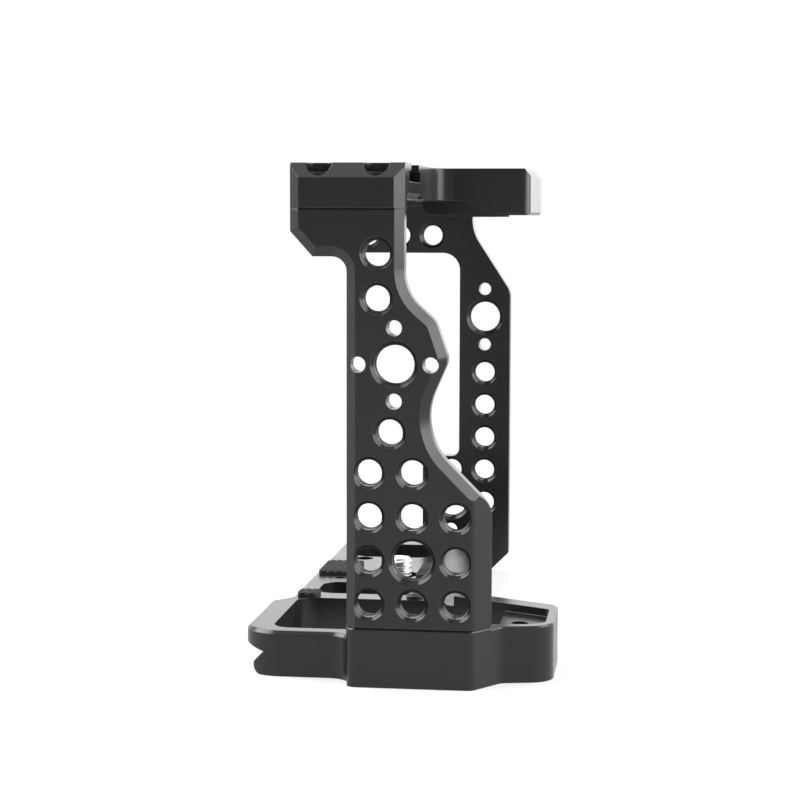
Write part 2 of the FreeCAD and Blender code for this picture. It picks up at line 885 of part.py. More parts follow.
def grip_side_plate():
    body = new_body("grip_side_plate")
    reach = S.shoulder_reach
    corners = [
        side(ZERO, block_height),
        side(ZERO, shoulder_height, S.shoulder_fillet),
        side(-(reach - S.shoulder_cut), shoulder_height),
        side(-reach, shoulder_height + S.shoulder_cut_rise),
        side(-reach, grip_top),
        side(neck_front, grip_top),
        side(neck_front, neck_end, S.neck_corner),
        side(brow_front, brow_height, S.brow_corner),
        side(nose_front, nose_height, S.nose_corner),
        side(waist_front, waist_height, S.waist_corner),
        side(skirt_front, skirt_height, S.skirt_corner),
        side(skirt_front, block_height),
    ]
    plate = pad(body, "plate", outline(body, "plate_outline", "YZ_Plane", corners), S.grip_wall)
    plate = round_corners(body, plate, "YZ_Plane", corners)
    front = chamfer(
        body,
        "front_edge",
        plate,
        lambda box: near(box.XMax, ZERO)
        and box.YMax < (S.grip_chamfer - neck_front).value
        and box.ZMax > (block_height + S.slip).value,
        S.grip_chamfer,
    )
    chamfer(
        body,
        "rear_edge",
        front,
        lambda box: near(box.XMax, ZERO)
        and box.YMin > -S.slip.value
        and box.ZMax > (block_height + S.slip).value,
        S.grip_rear_chamfer,
    )
    facet = [
        plan(-S.overrun, facet_start - S.overrun * S.facet_rise / S.facet_run),
        plan(S.facet_run, lobe_root),
        plan(-S.overrun, lobe_root),
    ]
    facet_sketch = outline(body, "facet_outline", "XY_Plane", facet)
    plate = pocket(body, "facet", facet_sketch, grip_top, reverse=True)
    plate = round_corners(body, plate, "XY_Plane", [plan(ZERO, facet_start, S.facet_edge)])
    plate = seam_edge(body, "base_seam", plate, block_height)
    seam_edge(body, "roof_seam", plate, grip_top)
    grid = [
        side(S.grid_front + S.grid_pitch * column, grid_height + S.grid_row * row)
        for row in range(4)
        for column in range(3)
        if (row, column) not in ((1, 1), (3, 2))
    ]
    upper = [
        side(S.upper_hole_front, upper_hole_height),
        side(S.upper_hole_front, upper_hole_low),
        side(S.lone_hole_front, lone_hole_height),
    ]
    large = [
        side(S.pinned_front, pinned_height),
        side(S.grid_front + S.grid_pitch, grid_height + S.grid_row),
    ]
    tapped(body, "quarter", grid + upper, ZERO, S.grip_wall, S.quarter_bore, S.quarter_ring)
    tapped(body, "large", large, ZERO, S.grip_wall, S.large_bore, S.large_ring)
    pins = [
        side(S.pinned_front, pinned_height + S.pin_circle, S.pin_bore),
        side(S.pinned_front, pinned_height - S.pin_circle, S.pin_bore),
        side(S.pinned_front + S.pin_circle, pinned_height, S.pin_bore),
        side(S.pinned_front - S.pin_circle, pinned_height, S.pin_bore),
    ]
    pin_sketch = circles(body, "pins_circles", "YZ_Plane", pins, -S.overrun)
    pocket(body, "pins", pin_sketch, S.grip_wall + S.overrun * 2, reverse=True)
    screw, dowel = S.screw_shank + S.slip, S.dowel + S.slip
    for name, fronts, radius, reach in (
        ("roof_screws", roof_screw_places, screw, S.grip_screw_reach),
        ("roof_dowels", roof_dowel_places, dowel, S.dowel_reach),
    ):
        places = [plan(S.grip_screw_x, front, radius) for front in fronts]
        sketch = circles(body, name + "_circles", "XY_Plane", places, grip_top + S.overrun)
        pocket(body, name, sketch, S.overrun + reach)
    for name, fronts, radius, reach in (
        ("base_screws", grip_base_places, screw, S.base_screw_reach),
        ("base_dowels", grip_base_dowel_places, dowel, S.dowel_reach / 2),
    ):
        places = [plan(S.grip_screw_x, front, radius) for front in fronts]
        sketch = circles(body, name + "_circles", "XY_Plane", places, block_height - S.overrun)
        pocket(body, name, sketch, S.overrun + reach, reverse=True)
    return keep(body, "grip_side_plate")


def port_side_plate():
    body = new_body("port_side_plate")
    bar_low = port_top - S.port_bar
    corners = [
        side(ZERO, ZERO),
        side(ZERO, port_foot_height, S.port_foot_corner),
        side(port_strut_rear, port_foot_height, S.port_foot_corner),
        side(port_strut_rear, bar_low, S.port_window_corner),
        side(-S.port_bar_rear, bar_low, S.port_bar_corner),
        side(-S.port_bar_rear, port_top),
        side(S.port_bar_front, port_top),
        side(S.port_bar_front, port_brow_height, S.port_brow_corner),
        side(port_front, port_nose_height, S.port_nose_corner),
        side(port_front, S.port_toe),
        side(port_front - S.port_toe, ZERO),
    ]
    sketch = outline(body, "plate_outline", "YZ_Plane", corners, port_inner)
    plate = pad(body, "plate", sketch, S.port_wall)
    plate = round_corners(body, plate, "YZ_Plane", corners)
    chamfer(
        body,
        "edges",
        plate,
        lambda box: near(box.XMin, cage_length) and box.ZMax > S.slip.value
        and box.ZMin < port_top.value - S.slip.value,
        S.port_edge,
    )
    bar = [side(S.port_hole_front - S.port_hole_pitch * column, port_hole_height) for column in range(3)]
    front, second = S.port_pinned_front, port_second_front
    column = [side(front, port_column_height - S.port_row * row) for row in range(5)]
    quarter = bar + column + [side(second, S.port_grid_height + S.port_row)]
    tapped(body, "quarter", quarter, port_inner, cage_length, S.quarter_bore, S.quarter_ring)
    large = [side(front, port_pinned_height), side(second, S.port_grid_height)]
    tapped(body, "large", large, port_inner, cage_length, S.large_bore, S.large_ring)
    pins = [
        side(front, port_pinned_height + S.pin_circle, S.pin_bore),
        side(front, port_pinned_height - S.pin_circle, S.pin_bore),
        side(second, S.port_grid_height - S.pin_circle, S.pin_bore),
    ]
    pin_sketch = circles(body, "pins_circles", "YZ_Plane", pins, port_inner - S.overrun)
    pocket(body, "pins", pin_sketch, S.port_wall + S.overrun * 2, reverse=True)
    screw, dowel = S.screw_shank + S.slip, S.dowel + S.slip
    for name, fronts, radius, reach in (
        ("roof_screws", port_roof_places, screw, S.port_roof_reach),
        ("roof_dowel", [S.port_dowel_front], dowel, S.dowel_reach),
    ):
        places = [plan(port_middle, front, radius) for front in fronts]
        sketch = circles(body, name + "_circles", "XY_Plane", places, port_top + S.overrun)
        pocket(body, name, sketch, S.overrun + reach)
    base_screws = [side(front, deck_middle, screw) for front in port_base_places]
    sketch = circles(body, "base_screws_circles", "YZ_Plane", base_screws, cage_length)
    hole(body, "base_screws", sketch, screw, S.screw_head + S.slip)
    base_dowel = [side(port_base_dowel, deck_middle, dowel)]
    sketch = circles(body, "base_dowel_circles", "YZ_Plane", base_dowel, port_inner - S.overrun)
    pocket(body, "base_dowel", sketch, S.overrun + S.dowel_reach, reverse=True)
    return keep(body, "port_side_plate")


# Roof.


def roof_outline():
    inner = loop_start + S.loop_wall
    inner_front = S.loop_front - S.loop_front_wall
    rear = -S.shoulder_reach
    port_rear = -S.port_bar_rear
    cut_rear = S.roof_rear_chamfer
    cut_front = S.roof_chamfer
    return [
        plan(cut_rear, rear),
        plan(S.roof_block_length, rear, S.roof_corner),
        plan(S.roof_block_length, S.bar_rear, S.roof_corner),
        plan(inner, S.bar_rear, S.roof_corner),
        plan(inner, inner_front, S.loop_corner),
        plan(loop_end - S.loop_wall, inner_front, S.loop_corner),
        plan(loop_end - S.loop_wall, S.bar_rear, S.roof_corner),
        plan(port_block_start, S.bar_rear, S.roof_corner),
        plan(port_block_start, port_rear, S.roof_corner),
        plan(cage_length - cut_rear, port_rear),
        plan(cage_length, port_rear + cut_rear),
        plan(cage_length, S.port_bar_front - cut_front),
        plan(cage_length - cut_front, S.port_bar_front),
        plan(loop_end, S.port_bar_front, S.loop_root),
        plan(loop_end, S.loop_front, S.loop_corner),
        plan(loop_start, S.loop_front, S.loop_corner),
        plan(loop_start, S.roof_front, S.loop_root),
        plan(cut_front, S.roof_front),
        plan(ZERO, S.roof_front - cut_front),
        plan(ZERO, rear + cut_rear),
    ]


def loop_skirt_outline():
    inner = loop_start + S.loop_wall
    inner_front = S.loop_front - S.loop_front_wall
    return [
        plan(loop_start, S.loop_rear),
        plan(inner, S.loop_rear),
        plan(inner, inner_front, S.loop_corner),
        plan(loop_end - S.loop_wall, inner_front, S.loop_corner),
        plan(loop_end - S.loop_wall, S.loop_rear),
        plan(loop_end, S.loop_rear),
        plan(loop_end, S.loop_front, S.loop_corner),
        plan(loop_start, S.loop_front, S.loop_corner),
    ]


def relief_corners():
    """The shallow relief low on each leg of the loop, which runs out forwards in an S."""
    low = loop_under
    high = low + S.relief_height
    return [
        side(S.loop_rear - S.overrun, low - S.overrun),
        side(S.loop_rear - S.overrun, high),
        side(S.relief_start, high, S.relief_corner),
        side(S.relief_end, low + S.relief_edge, S.relief_corner),
        side(S.loop_front - S.loop_corner, low + S.relief_edge),
        side(S.loop_front - S.loop_corner, low - S.overrun),
    ]


def foot(body, name, corners, under):
    """A part of the roof that reaches down from the middle of its thickness to a height."""
    sketch = outline(body, name + "_outline", "XY_Plane", corners, under)
    return pad(body, name, sketch, (roof_top + roof_under) / 2 - under)


def front_bevel(body, name, front, up, depth, height, start, length):
    """A flat bevel along a front edge at a level: height is upwards, or downwards if negative."""
    corners = [
        side(front - depth * 2, up - height),
        side(front + depth, up + height * 2),
        side(front + depth, up - height),
    ]
    sketch = outline(body, name + "_outline", "YZ_Plane", corners, start)
    return pocket(body, name, sketch, length, reverse=True)


def shoe(body, name, middle, rear, front):
    """An accessory shoe: a wide slot with a narrower throat over it, from one front to another."""
    for part, width, height in (
        ("slot", S.shoe_width, S.shoe_slot),
        ("throat", S.shoe_throat, S.shoe_slot + S.shoe_lip * 2),
    ):
        corners = [
            plan(middle - width / 2, rear),
            plan(middle + width / 2, rear),
            plan(middle + width / 2, front),
            plan(middle - width / 2, front),
        ]
        sketch = outline(body, f"{name}_{part}_outline", "XY_Plane", corners, shoe_floor)
        pocket(body, f"{name}_{part}", sketch, height, reverse=True)


def top_plate():
    body = new_body("top_plate")
    rear, cut_rear = -S.shoulder_reach, S.roof_rear_chamfer
    front, cut_front = S.roof_front, S.roof_chamfer
    port_rear, port_front = -S.port_bar_rear, S.port_bar_front
    end = cage_length
    pad(
        body,
        "roof",
        outline(body, "roof_outline", "XY_Plane", roof_outline(), roof_under),
        roof_top - roof_under,
    )
    foot(body, "skirt", loop_skirt_outline(), loop_under)
    grip_corners = [
        plan(cut_rear, rear),
        plan(S.grip_wall, rear),
        plan(S.grip_wall, front),
        plan(cut_front, front),
        plan(ZERO, front - cut_front),
        plan(ZERO, rear + cut_rear),
    ]
    foot(body, "grip_foot", grip_corners, grip_top)
    port_end = [
        plan(end - cut_rear, port_rear),
        plan(end, port_rear + cut_rear),
        plan(end, port_front - cut_front),
        plan(end - cut_front, port_front),
    ]
    block_corners = [plan(port_block_start, port_rear)] + port_end + [plan(port_block_start, port_front)]
    foot(body, "port_block", block_corners, port_block_under)
    foot_corners = [plan(port_inner, port_rear)] + port_end + [plan(port_inner, port_front)]
    made = foot(body, "port_foot", foot_corners, port_top)
    made = round_corners(body, made, "XY_Plane", roof_outline())
    made = seam_edge(body, "grip_seam", made, grip_top)
    made = fillet(
        body,
        "skirt_heels",
        made,
        lambda box: flat_at(box, loop_under)
        and near(box.YMax, -S.loop_rear)
        and near(box.YMin, -S.loop_rear),
        S.loop_heel,
    )
    loop_front, brow, brow_depth = S.loop_front, -S.loop_brow, S.loop_brow_depth
    lip, bar_lip = S.loop_under_edge, S.roof_under_edge
    bar_length = S.roof_block_length - S.grip_wall
    front_bevel(body, "loop_brow", loop_front, roof_top, brow_depth, brow, loop_start, S.loop_width)
    front_bevel(body, "loop_lip", loop_front, loop_under, lip, lip, loop_start, S.loop_width)
    front_bevel(body, "bar_lip", front, roof_under, bar_lip, bar_lip, S.grip_wall, bar_length)
    slope_corners = [
        (-S.overrun, roof_top + S.overrun, ZERO),
        (-S.overrun, roof_top - S.roof_slope - S.overrun * S.roof_slope / S.roof_slope_run, ZERO),
        (S.roof_slope_run, roof_top, ZERO),
        (S.roof_slope_run, roof_top + S.overrun, ZERO),
    ]
    slope = outline(body, "slope_outline", "XZ_Plane", slope_corners, -front_reach)
    pocket(body, "slope", slope, front_reach * 2, reverse=True)
    for name, offset in (("near_relief", loop_start), ("far_relief", loop_end - S.relief_depth)):
        corners = relief_corners()
        sketch = outline(body, name + "_outline", "YZ_Plane", corners, offset)
        made = pocket(body, name, sketch, S.relief_depth, reverse=True)
        round_corners(body, made, "YZ_Plane", corners)
    near_shoe = S.roof_block_length - S.near_shoe_margin - S.shoe_width / 2
    port_shoe = port_inner - S.shoe_margin - S.shoe_width / 2
    shoe(body, "near_shoe", near_shoe, -S.shoe_stop, front + S.overrun)
    shoe(body, "port_shoe", port_shoe, port_rear - S.overrun, S.shoe_stop)
    drill_roof(body)
    return keep(body, "top_plate")


def drill_roof(body):
    """Holes in the roof: screw seats, dowels, and two quarter-inch holes in the near bar."""
    above = roof_top + S.overrun
    through = above - loop_under + S.overrun
    bore = S.screw_shank + S.slip
    grip_screws = [(S.grip_screw_x, front) for front in roof_screw_places]
    port_screws = [(port_middle, front) for front in port_roof_places]
    for name, centres, radius, reach in (
        ("screw_bores", grip_screws + port_screws, bore, through + S.overrun),
        ("grip_wells", grip_screws, S.screw_well, S.overrun + S.grip_screw_sink),
        ("port_wells", port_screws, S.screw_well, S.overrun + S.port_roof_sink),
    ):
        places = [plan(*centre, radius) for centre in centres]
        pocket(body, name, circles(body, name + "_circles", "XY_Plane", places, above), reach)
    grip_dowels = [(S.grip_screw_x, front) for front in roof_dowel_places]
    for name, centres, low in (
        ("grip_dowels", grip_dowels, grip_top),
        ("port_dowel", [(port_middle, S.port_dowel_front)], port_top),
    ):
        places = [plan(*centre, S.dowel + S.slip) for centre in centres]
        sketch = circles(body, name + "_circles", "XY_Plane", places, low - S.overrun)
        pocket(body, name, sketch, S.overrun + S.dowel_reach, reverse=True)
    bar_middle, bar_front = (S.roof_block_length + loop_start) / 2, (S.bar_rear + S.roof_front) / 2
    half_pitch = S.grid_pitch / 2
    bar = [
        plan(bar_middle - half_pitch, bar_front, S.quarter_bore),
        plan(bar_middle + half_pitch, bar_front, S.quarter_bore),
    ]
    ring = (S.quarter_bore + S.quarter_ring) / 2
    bar_circles = circles(body, "bar_holes_circles", "XY_Plane", bar, roof_top)
    hole(body, "bar_holes", bar_circles, S.quarter_bore, ring)


# Fasteners.


def frame_screw(name, place_of_head, length, turn=None, countersunk=False):
    """A socket screw whose head's top is at a place, and which points down unless it is turned."""
    head, shank = S.screw_head, S.screw_shank
    if countersunk:
        head_length = head - shank
        head_piece = cone(name + "_head", shank, head, head_length, ZERO, ZERO, -head_length)
    else:
        head_length = S.screw_head_length
        head_piece = cylinder(name + "_head", head, head_length, ZERO, ZERO, -head_length)
    shank_piece = cylinder(name + "_shank", shank, length - head_length, ZERO, ZERO, -length)
    socket = doc.addObject("Part::Prism", name + "_socket")
    socket.Polygon = 6
    bind(socket, Circumradius=S.screw_socket, Height=S.screw_socket_depth * 2)
    place(socket, ZERO, ZERO, -S.screw_socket_depth)
    made = cut(name, fuse(name + "_blank", head_piece, shank_piece), socket)
    if turn:
        made.Placement.Rotation = turn
    return place(made, *place_of_head)


def screw_group(name, places, length, turn=None, countersunk=False):
    """A row of equal screws, kept as one piece of the cage."""
    screws = [
        frame_screw(f"{name}_{number}", place_of_head, length, turn, countersunk)
        for number, place_of_head in enumerate(places, 1)
    ]
    keep(group(name, screws), name)


def frame_screws():
    """Screws that hold the roof and the base to the side plates, in four groups."""
    over = FreeCAD.Rotation(FreeCAD.Vector(1, 0, 0), 180)
    outward = FreeCAD.Rotation(FreeCAD.Vector(0, 1, 0), 90)
    grip_top = roof_top - S.grip_screw_sink + S.screw_head_length
    grip_length = grip_top - grip_top + S.grip_screw_reach - S.slip
    screw_group(
        "grip_roof_screws", [(S.grip_screw_x, -front, grip_top) for front in roof_screw_places], grip_length
    )
    port_head = roof_top - S.port_roof_sink + S.screw_head_length
    port_length = port_head - port_top + S.port_roof_reach - S.slip
    port_places = [(port_middle, -front, port_head) for front in port_roof_places]
    screw_group("port_roof_screws", port_places, port_length)
    base_length = block_height + S.base_screw_reach - S.base_screw_sink - S.slip
    base_places = [(S.grip_screw_x, -front, S.base_screw_sink) for front in grip_base_places]
    screw_group("grip_base_screws", base_places, base_length, over)
    end_length = S.port_wall + S.port_screw_reach - S.slip
    end_places = [(cage_length, -front, deck_middle) for front in port_base_places]
    screw_group("port_base_screws", end_places, end_length, outward, countersunk=True)


def dowels():
    """Plain dowels that set each joint before its screws are tightened."""
    reach = S.dowel_reach - S.slip
    grip_roof = [
        cylinder(f"grip_roof_dowel_{number}", S.dowel, reach * 2, S.grip_screw_x, -front, grip_top - reach)
        for number, front in enumerate(roof_dowel_places)
    ]
    keep(group("grip_roof_dowels", grip_roof), "grip_roof_dowels")
    low = block_height - reach
    length = reach + S.dowel_reach / 2 - S.slip
    grip_base = [
        cylinder(f"grip_base_dowel_{number}", S.dowel, length, S.grip_screw_x, -front, low)
        for number, front in enumerate(grip_base_dowel_places)
    ]
    keep(group("grip_base_dowels", grip_base), "grip_base_dowels")
    port_roof = cylinder("roof_pin", S.dowel, reach * 2, port_middle, -S.port_dowel_front, port_top - reach)
    keep(group("port_roof_dowel", [port_roof]), "port_roof_dowel")
    port_base = cylinder("base_pin", S.dowel, reach * 2, port_inner - reach, -port_base_dowel, deck_middle)
    port_base.Placement.Rotation = FreeCAD.Rotation(FreeCAD.Vector(0, 1, 0), 90)
    keep(group("port_base_dowel", [port_base]), "port_base_dowel")


def button_screw():
    """A low screw on the bar between the battery opening and the middle opening."""
    x, y = battery_bar_middle, -S.button_front
    edge = S.button_head_length / 2
    rim = cylinder("button_rim", S.button_head, edge, x, y, S.deck_height)
    crown = cone("button_top", S.button_head, S.button_crown, edge, x, y, S.deck_height + edge)
    shank = cylinder("button_stem", S.button_shank, S.button_reach, x, y, S.deck_height - S.button_reach)
    socket = doc.addObject("Part::Prism", "button_hexagon")
    socket.Polygon = 6
    bind(socket, Circumradius=S.button_socket, Height=S.button_head_length)
    place(socket, x, y, S.deck_height + edge)
    keep(cut("button_screw", fuse("button_blank", rim, crown, shank), socket), "button_screw")


# Camera screw and its clip.


def camera_screw():
    x, y = camera_x, -S.camera_front
    radius = S.camera_screw
    tip = S.deck_height + S.camera_screw_tip
    groove_high = clip_floor + S.clip_height + S.slip * 2
    head = cylinder("head", S.camera_screw_head, S.camera_screw_head_length, x, y, screw_head_low)
    shank = cylinder("shank", radius, clip_floor - screw_head_high, x, y, screw_head_high)
    neck = cylinder("neck", S.camera_screw_neck, groove_high - clip_floor, x, y, clip_floor)
    relief_radius = radius - S.camera_screw_relief
    relief = cylinder("relief", relief_radius, S.deck_height - groove_high, x, y, groove_high)
    point_length = S.camera_screw_point
    thread = cylinder("thread", radius, tip - point_length - S.deck_height, x, y, S.deck_height)
    point = cone("point", radius, radius - point_length, point_length, x, y, tip - point_length)
    blank = fuse("camera_screw_blank", head, shank, neck, relief, thread, point)
    half = S.camera_screw_slot / 2
    reach = S.camera_screw_head + S.overrun
    slot = solid_box(
        "head_slot",
        (x - half, y - reach, screw_head_low - S.overrun),
        (x + half, y + reach, screw_head_low + S.camera_screw_slot_depth),
    )
    keep(cut("camera_screw", blank, slot), "camera_screw")


def screw_clip():
    """The open clip that sits in the screw's groove and hangs it on the base."""
    x, y = camera_x, -S.camera_front
    ring = cylinder("clip_ring", S.clip, S.clip_height, x, y, clip_floor)
    bore_radius = S.camera_screw_neck + S.slip
    bore = cylinder("clip_bore", bore_radius, S.clip_height * 3, x, y, clip_floor - S.clip_height)
    half = S.clip_mouth / 2
    mouth = solid_box(
        "clip_mouth",
        (x - half, y, clip_floor - S.clip_height),
        (x + half, y + S.clip * 2, clip_floor + S.clip_height * 2),
    )
    keep(cut("screw_clip", ring, fuse("clip_cutter", bore, mouth)), "screw_clip")


# Pads.


def deck_pad(name, start, length, rear_front, front_front):
    """A rubber pad on the deck, rounded at its corners, with ribs moulded across its top."""
    body = new_body(name)
    corner = S.pad_corner
    corners = [
        plan(start, rear_front, corner),
        plan(start + length, rear_front, corner),
        plan(start + length, front_front, corner),
        plan(start, front_front, corner),
    ]
    made = pad(body, "pad", outline(body, "pad_outline", "XY_Plane", corners, S.deck_height), S.pad_height)
    round_corners(body, made, "XY_Plane", corners)
    rib, over, wide = S.pad_rib, S.overrun, front_front - rear_front
    count = int((length.value + wide.value) / (rib.value * 2)) - 1
    grooves = []
    for number in range(1, count + 1):
        foot = start + rib * (2 * number)
        grooves.append(
            [
                plan(foot - wide - over, front_front + over),
                plan(foot - wide - over + rib, front_front + over),
                plan(foot + over + rib, rear_front - over),
                plan(foot + over, rear_front - over),
            ]
        )
    level = S.deck_height + S.pad_height + S.overrun
    sketch = outlines(body, "grooves_outline", "XY_Plane", grooves, level)
    pocket(body, "grooves", sketch, S.overrun + S.pad_rib_depth)
    return keep(body, name)


def loop_pad(number, middle):
    """A thin rubber pad with round ends, under one leg of the loop."""
    radius = S.loop_pad_width / 2
    low = loop_under - S.loop_pad_height
    first, last = S.loop_pad_start + radius, S.loop_pad_start + S.loop_pad_length - radius
    name = f"loop_pad_{number}"
    bar = solid_box(name + "_bar", (middle - radius, -last, low), (middle + radius, -first, loop_under))
    ends = [
        cylinder(f"{name}_end_{end}", radius, S.loop_pad_height, middle, -front, low)
        for end, front in enumerate((first, last), 1)
    ]
    return fuse(name, bar, *ends)


def pads():
    rear_rim = S.deck_edge + S.pad_inset - S.rail_rear
    rear_start = camera_x - S.rear_pad_gap
    front_start = camera_x - S.front_pad_gap
    port_start = port_inner - S.port_pad_gap - S.port_pad_length
    bar_start, bar_length = battery_end + S.bar_pad_inset, S.battery_bar - S.bar_pad_inset * 2
    front_edge = S.front_pad_rear + S.front_pad_width
    deck_pad("rear_pad", rear_start, S.rear_pad_length, rear_rim, rear_rim + S.rear_pad_width)
    deck_pad("bar_pad", bar_start, bar_length, rear_rim, rear_rim + S.bar_pad_width)
    deck_pad("port_pad", port_start, S.port_pad_length, rear_rim, rear_rim + S.rear_pad_width)
    deck_pad("front_pad", front_start, S.front_pad_length, S.front_pad_rear, front_edge)
    inset = (S.loop_wall + S.relief_depth) / 2
    middles = (loop_start + inset, loop_end - inset)
    keep(group("loop_pads", [loop_pad(number, x) for number, x in enumerate(middles, 1)]), "loop_pads")


def check_and_write():
    """Stop if any object failed or any piece has a bad shape, then write one file for each piece."""
    doc.recompute()
    for thing in doc.Objects:
        if "Invalid" in thing.State or "Error" in thing.State:
            raise RuntimeError(f"{thing.Name} is {thing.State}")
    for thing in SUBPARTS:
        if thing.Shape.isNull() or not thing.Shape.isValid():
            raise RuntimeError(f"{thing.Label} has a bad shape")
    os.makedirs("parts", exist_ok=True)
    for thing in SUBPARTS:
        thing.Shape.exportStep(f"parts/{thing.Label}.step")
        box = thing.Shape.BoundBox
        print(
            f"{thing.Label:20s} solids {len(thing.Shape.Solids)} volume {thing.Shape.Volume:10.2f}"
            f"  x {box.XMin:7.2f} {box.XMax:7.2f}  y {box.YMin:7.2f} {box.YMax:7.2f}"
            f"  z {box.ZMin:7.2f} {box.ZMax:7.2f}"
        )


base_plate()
grip_side_plate()
port_side_plate()
top_plate()
frame_screws()
dowels()
button_screw()
camera_screw()
screw_clip()
pads()
check_and_write()
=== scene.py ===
# %% [markdown]
# A camera cage, dressed for its picture. The cage is milled from aluminium bar, blasted with fine
# beads and anodised black. Its base, side plates, roof, fasteners and ribbed pads come from the packed
# model with the right size and place. This script gives them their finish, and adds what is too fine
# to be milled into the model: the threads in the tapped holes and the thread of the camera screw.

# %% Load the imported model
import json
import math

import bmesh
import bpy
from mathutils import Matrix, Vector


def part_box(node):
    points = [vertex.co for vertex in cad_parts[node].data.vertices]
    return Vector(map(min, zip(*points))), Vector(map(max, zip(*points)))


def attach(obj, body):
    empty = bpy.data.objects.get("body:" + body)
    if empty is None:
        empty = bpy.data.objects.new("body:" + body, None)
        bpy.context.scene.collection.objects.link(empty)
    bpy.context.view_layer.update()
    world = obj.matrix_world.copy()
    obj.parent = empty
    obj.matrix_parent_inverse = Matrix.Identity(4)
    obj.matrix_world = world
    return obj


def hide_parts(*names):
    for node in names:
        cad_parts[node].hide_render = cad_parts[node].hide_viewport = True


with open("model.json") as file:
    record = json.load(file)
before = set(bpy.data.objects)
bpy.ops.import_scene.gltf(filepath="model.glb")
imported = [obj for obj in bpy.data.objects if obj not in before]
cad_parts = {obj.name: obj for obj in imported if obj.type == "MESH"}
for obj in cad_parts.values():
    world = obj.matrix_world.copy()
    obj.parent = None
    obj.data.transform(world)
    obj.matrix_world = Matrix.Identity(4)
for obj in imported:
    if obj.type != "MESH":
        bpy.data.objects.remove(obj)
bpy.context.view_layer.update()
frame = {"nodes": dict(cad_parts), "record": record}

MM = 0.001
record = frame["record"]
nodes = frame["nodes"]
mounts = {mount["name"]: mount for mount in record["mounts"]}
print("nodes", sorted(nodes))

# %% [markdown]
# The camera comes first. The photograph looks along the cage, from about 0.4 metres in front of the
# plate at the grip. A camera could be turned by eye until the picture looks right, but then every edge
# misses by a few pixels. Here the camera's place, its right and its up were worked out from the edges
# of the base, the plate and the roof, so the picture lines up with the photograph without any shift.

# %% Camera
CAMERA_PLACE = Vector((-0.45625, -0.05275, 0.09486))
CAMERA_RIGHT = Vector((0.13014, -0.99149, 0.00236))
CAMERA_UP = Vector((0.09174, 0.01442, 0.99568))
CAMERA_NEAREST = 0.02
CAMERA_FURTHEST = 20
PICTURE_SIZE = 800
FOCAL_PIXELS = 1980
SENSOR_WIDTH = 36.0


def make_camera():
    data = bpy.data.cameras.new("picture_camera")
    data.sensor_width = SENSOR_WIDTH
    data.lens = FOCAL_PIXELS / PICTURE_SIZE * SENSOR_WIDTH
    data.clip_start = CAMERA_NEAREST
    data.clip_end = CAMERA_FURTHEST
    camera = bpy.data.objects.new("picture_camera", data)
    bpy.context.scene.collection.objects.link(camera)
    back = CAMERA_RIGHT.cross(CAMERA_UP).normalized()
    turn = Matrix((CAMERA_RIGHT, back.cross(CAMERA_RIGHT), back)).transposed()
    camera.matrix_world = Matrix.Translation(CAMERA_PLACE) @ turn.to_4x4()
    bpy.context.scene.camera = camera
    print("camera lens", data.lens, "mm")


make_camera()
bpy.context.scene.view_settings.view_transform = "Standard"

# %% [markdown]
# Shader trees and geometry trees are both nodes and links, so a few helpers serve every tree below.

# %% Helpers for trees of nodes


def link(tree, start, end):
    tree.links.new(start, end)


def math_node(tree, operation):
    node = tree.nodes.new("ShaderNodeMath")
    node.operation = operation
    return node


def range_node(tree, ends, interpolation="LINEAR"):
    """A node that carries one range of values to another."""
    node = tree.nodes.new("ShaderNodeMapRange")
    node.interpolation_type = interpolation
    for label, value in ends.items():
        node.inputs[label].default_value = value
    return node


def principled(name, colour, roughness, metallic=0.0):
    """A material with one Principled shader, and its tree and shader for what is added to it."""
    material = bpy.data.materials.new(name)
    material.use_nodes = True
    tree = material.node_tree
    shader = tree.nodes["Principled BSDF"]
    shader.inputs["Base Color"].default_value = (*colour, 1)
    shader.inputs["Roughness"].default_value = roughness
    shader.inputs["Metallic"].default_value = metallic
    return material, tree, shader


print("helpers", [helper.__name__ for helper in (link, math_node, range_node, principled)])

# %% [markdown]
# A black satin part shows mostly what it mirrors, so it is photographed in a small white tent that is
# open towards the camera. Large lamps behind cloth could be modelled for this. Here the world is the
# tent, painted by direction with a few nodes, because each side of it can then be toned by itself. It
# is bright behind the cage and dim on the camera's side, so faces turned to the camera are the
# darkest, and chamfers and grazing faces are light. It is weaker overhead, and a little weaker at the
# rear. The camera itself sees plain white all round.

# %% World
# Each tone, and where it stands along X, from the camera's side at 0 to the far side at 1.
TENT_TONES = ((0.0, 0.085), (0.12, 0.1), (0.25, 0.2), (0.48, 0.38), (0.62, 0.95), (1.0, 1.15))
TENT_STRENGTH = 1.5
TENT_TOP_SHARE = 0.36
TENT_HIGH = {
    "From Min": 0.3,
    "From Max": 0.62,
    "To Min": TENT_STRENGTH,
    "To Max": TENT_TOP_SHARE * TENT_STRENGTH,
}
TENT_REAR = {"From Min": 0.0, "From Max": 0.7, "To Min": 1.0, "To Max": 0.8}
PLAIN_WHITE = (1, 1, 1, 1)


def tent_colour(tree, parts):
    """The tent's tone by the direction along X."""
    along = range_node(tree, {"From Min": -1.0})
    tones = tree.nodes.new("ShaderNodeValToRGB")
    for position, _ in TENT_TONES[1:-1]:
        tones.color_ramp.elements.new(position)
    for stop, (position, tone) in zip(tones.color_ramp.elements, TENT_TONES):
        stop.position = position
        stop.color = (tone, tone, tone, 1)
    link(tree, parts.outputs["X"], along.inputs["Value"])
    link(tree, along.outputs["Result"], tones.inputs["Fac"])
    return tones.outputs["Color"]


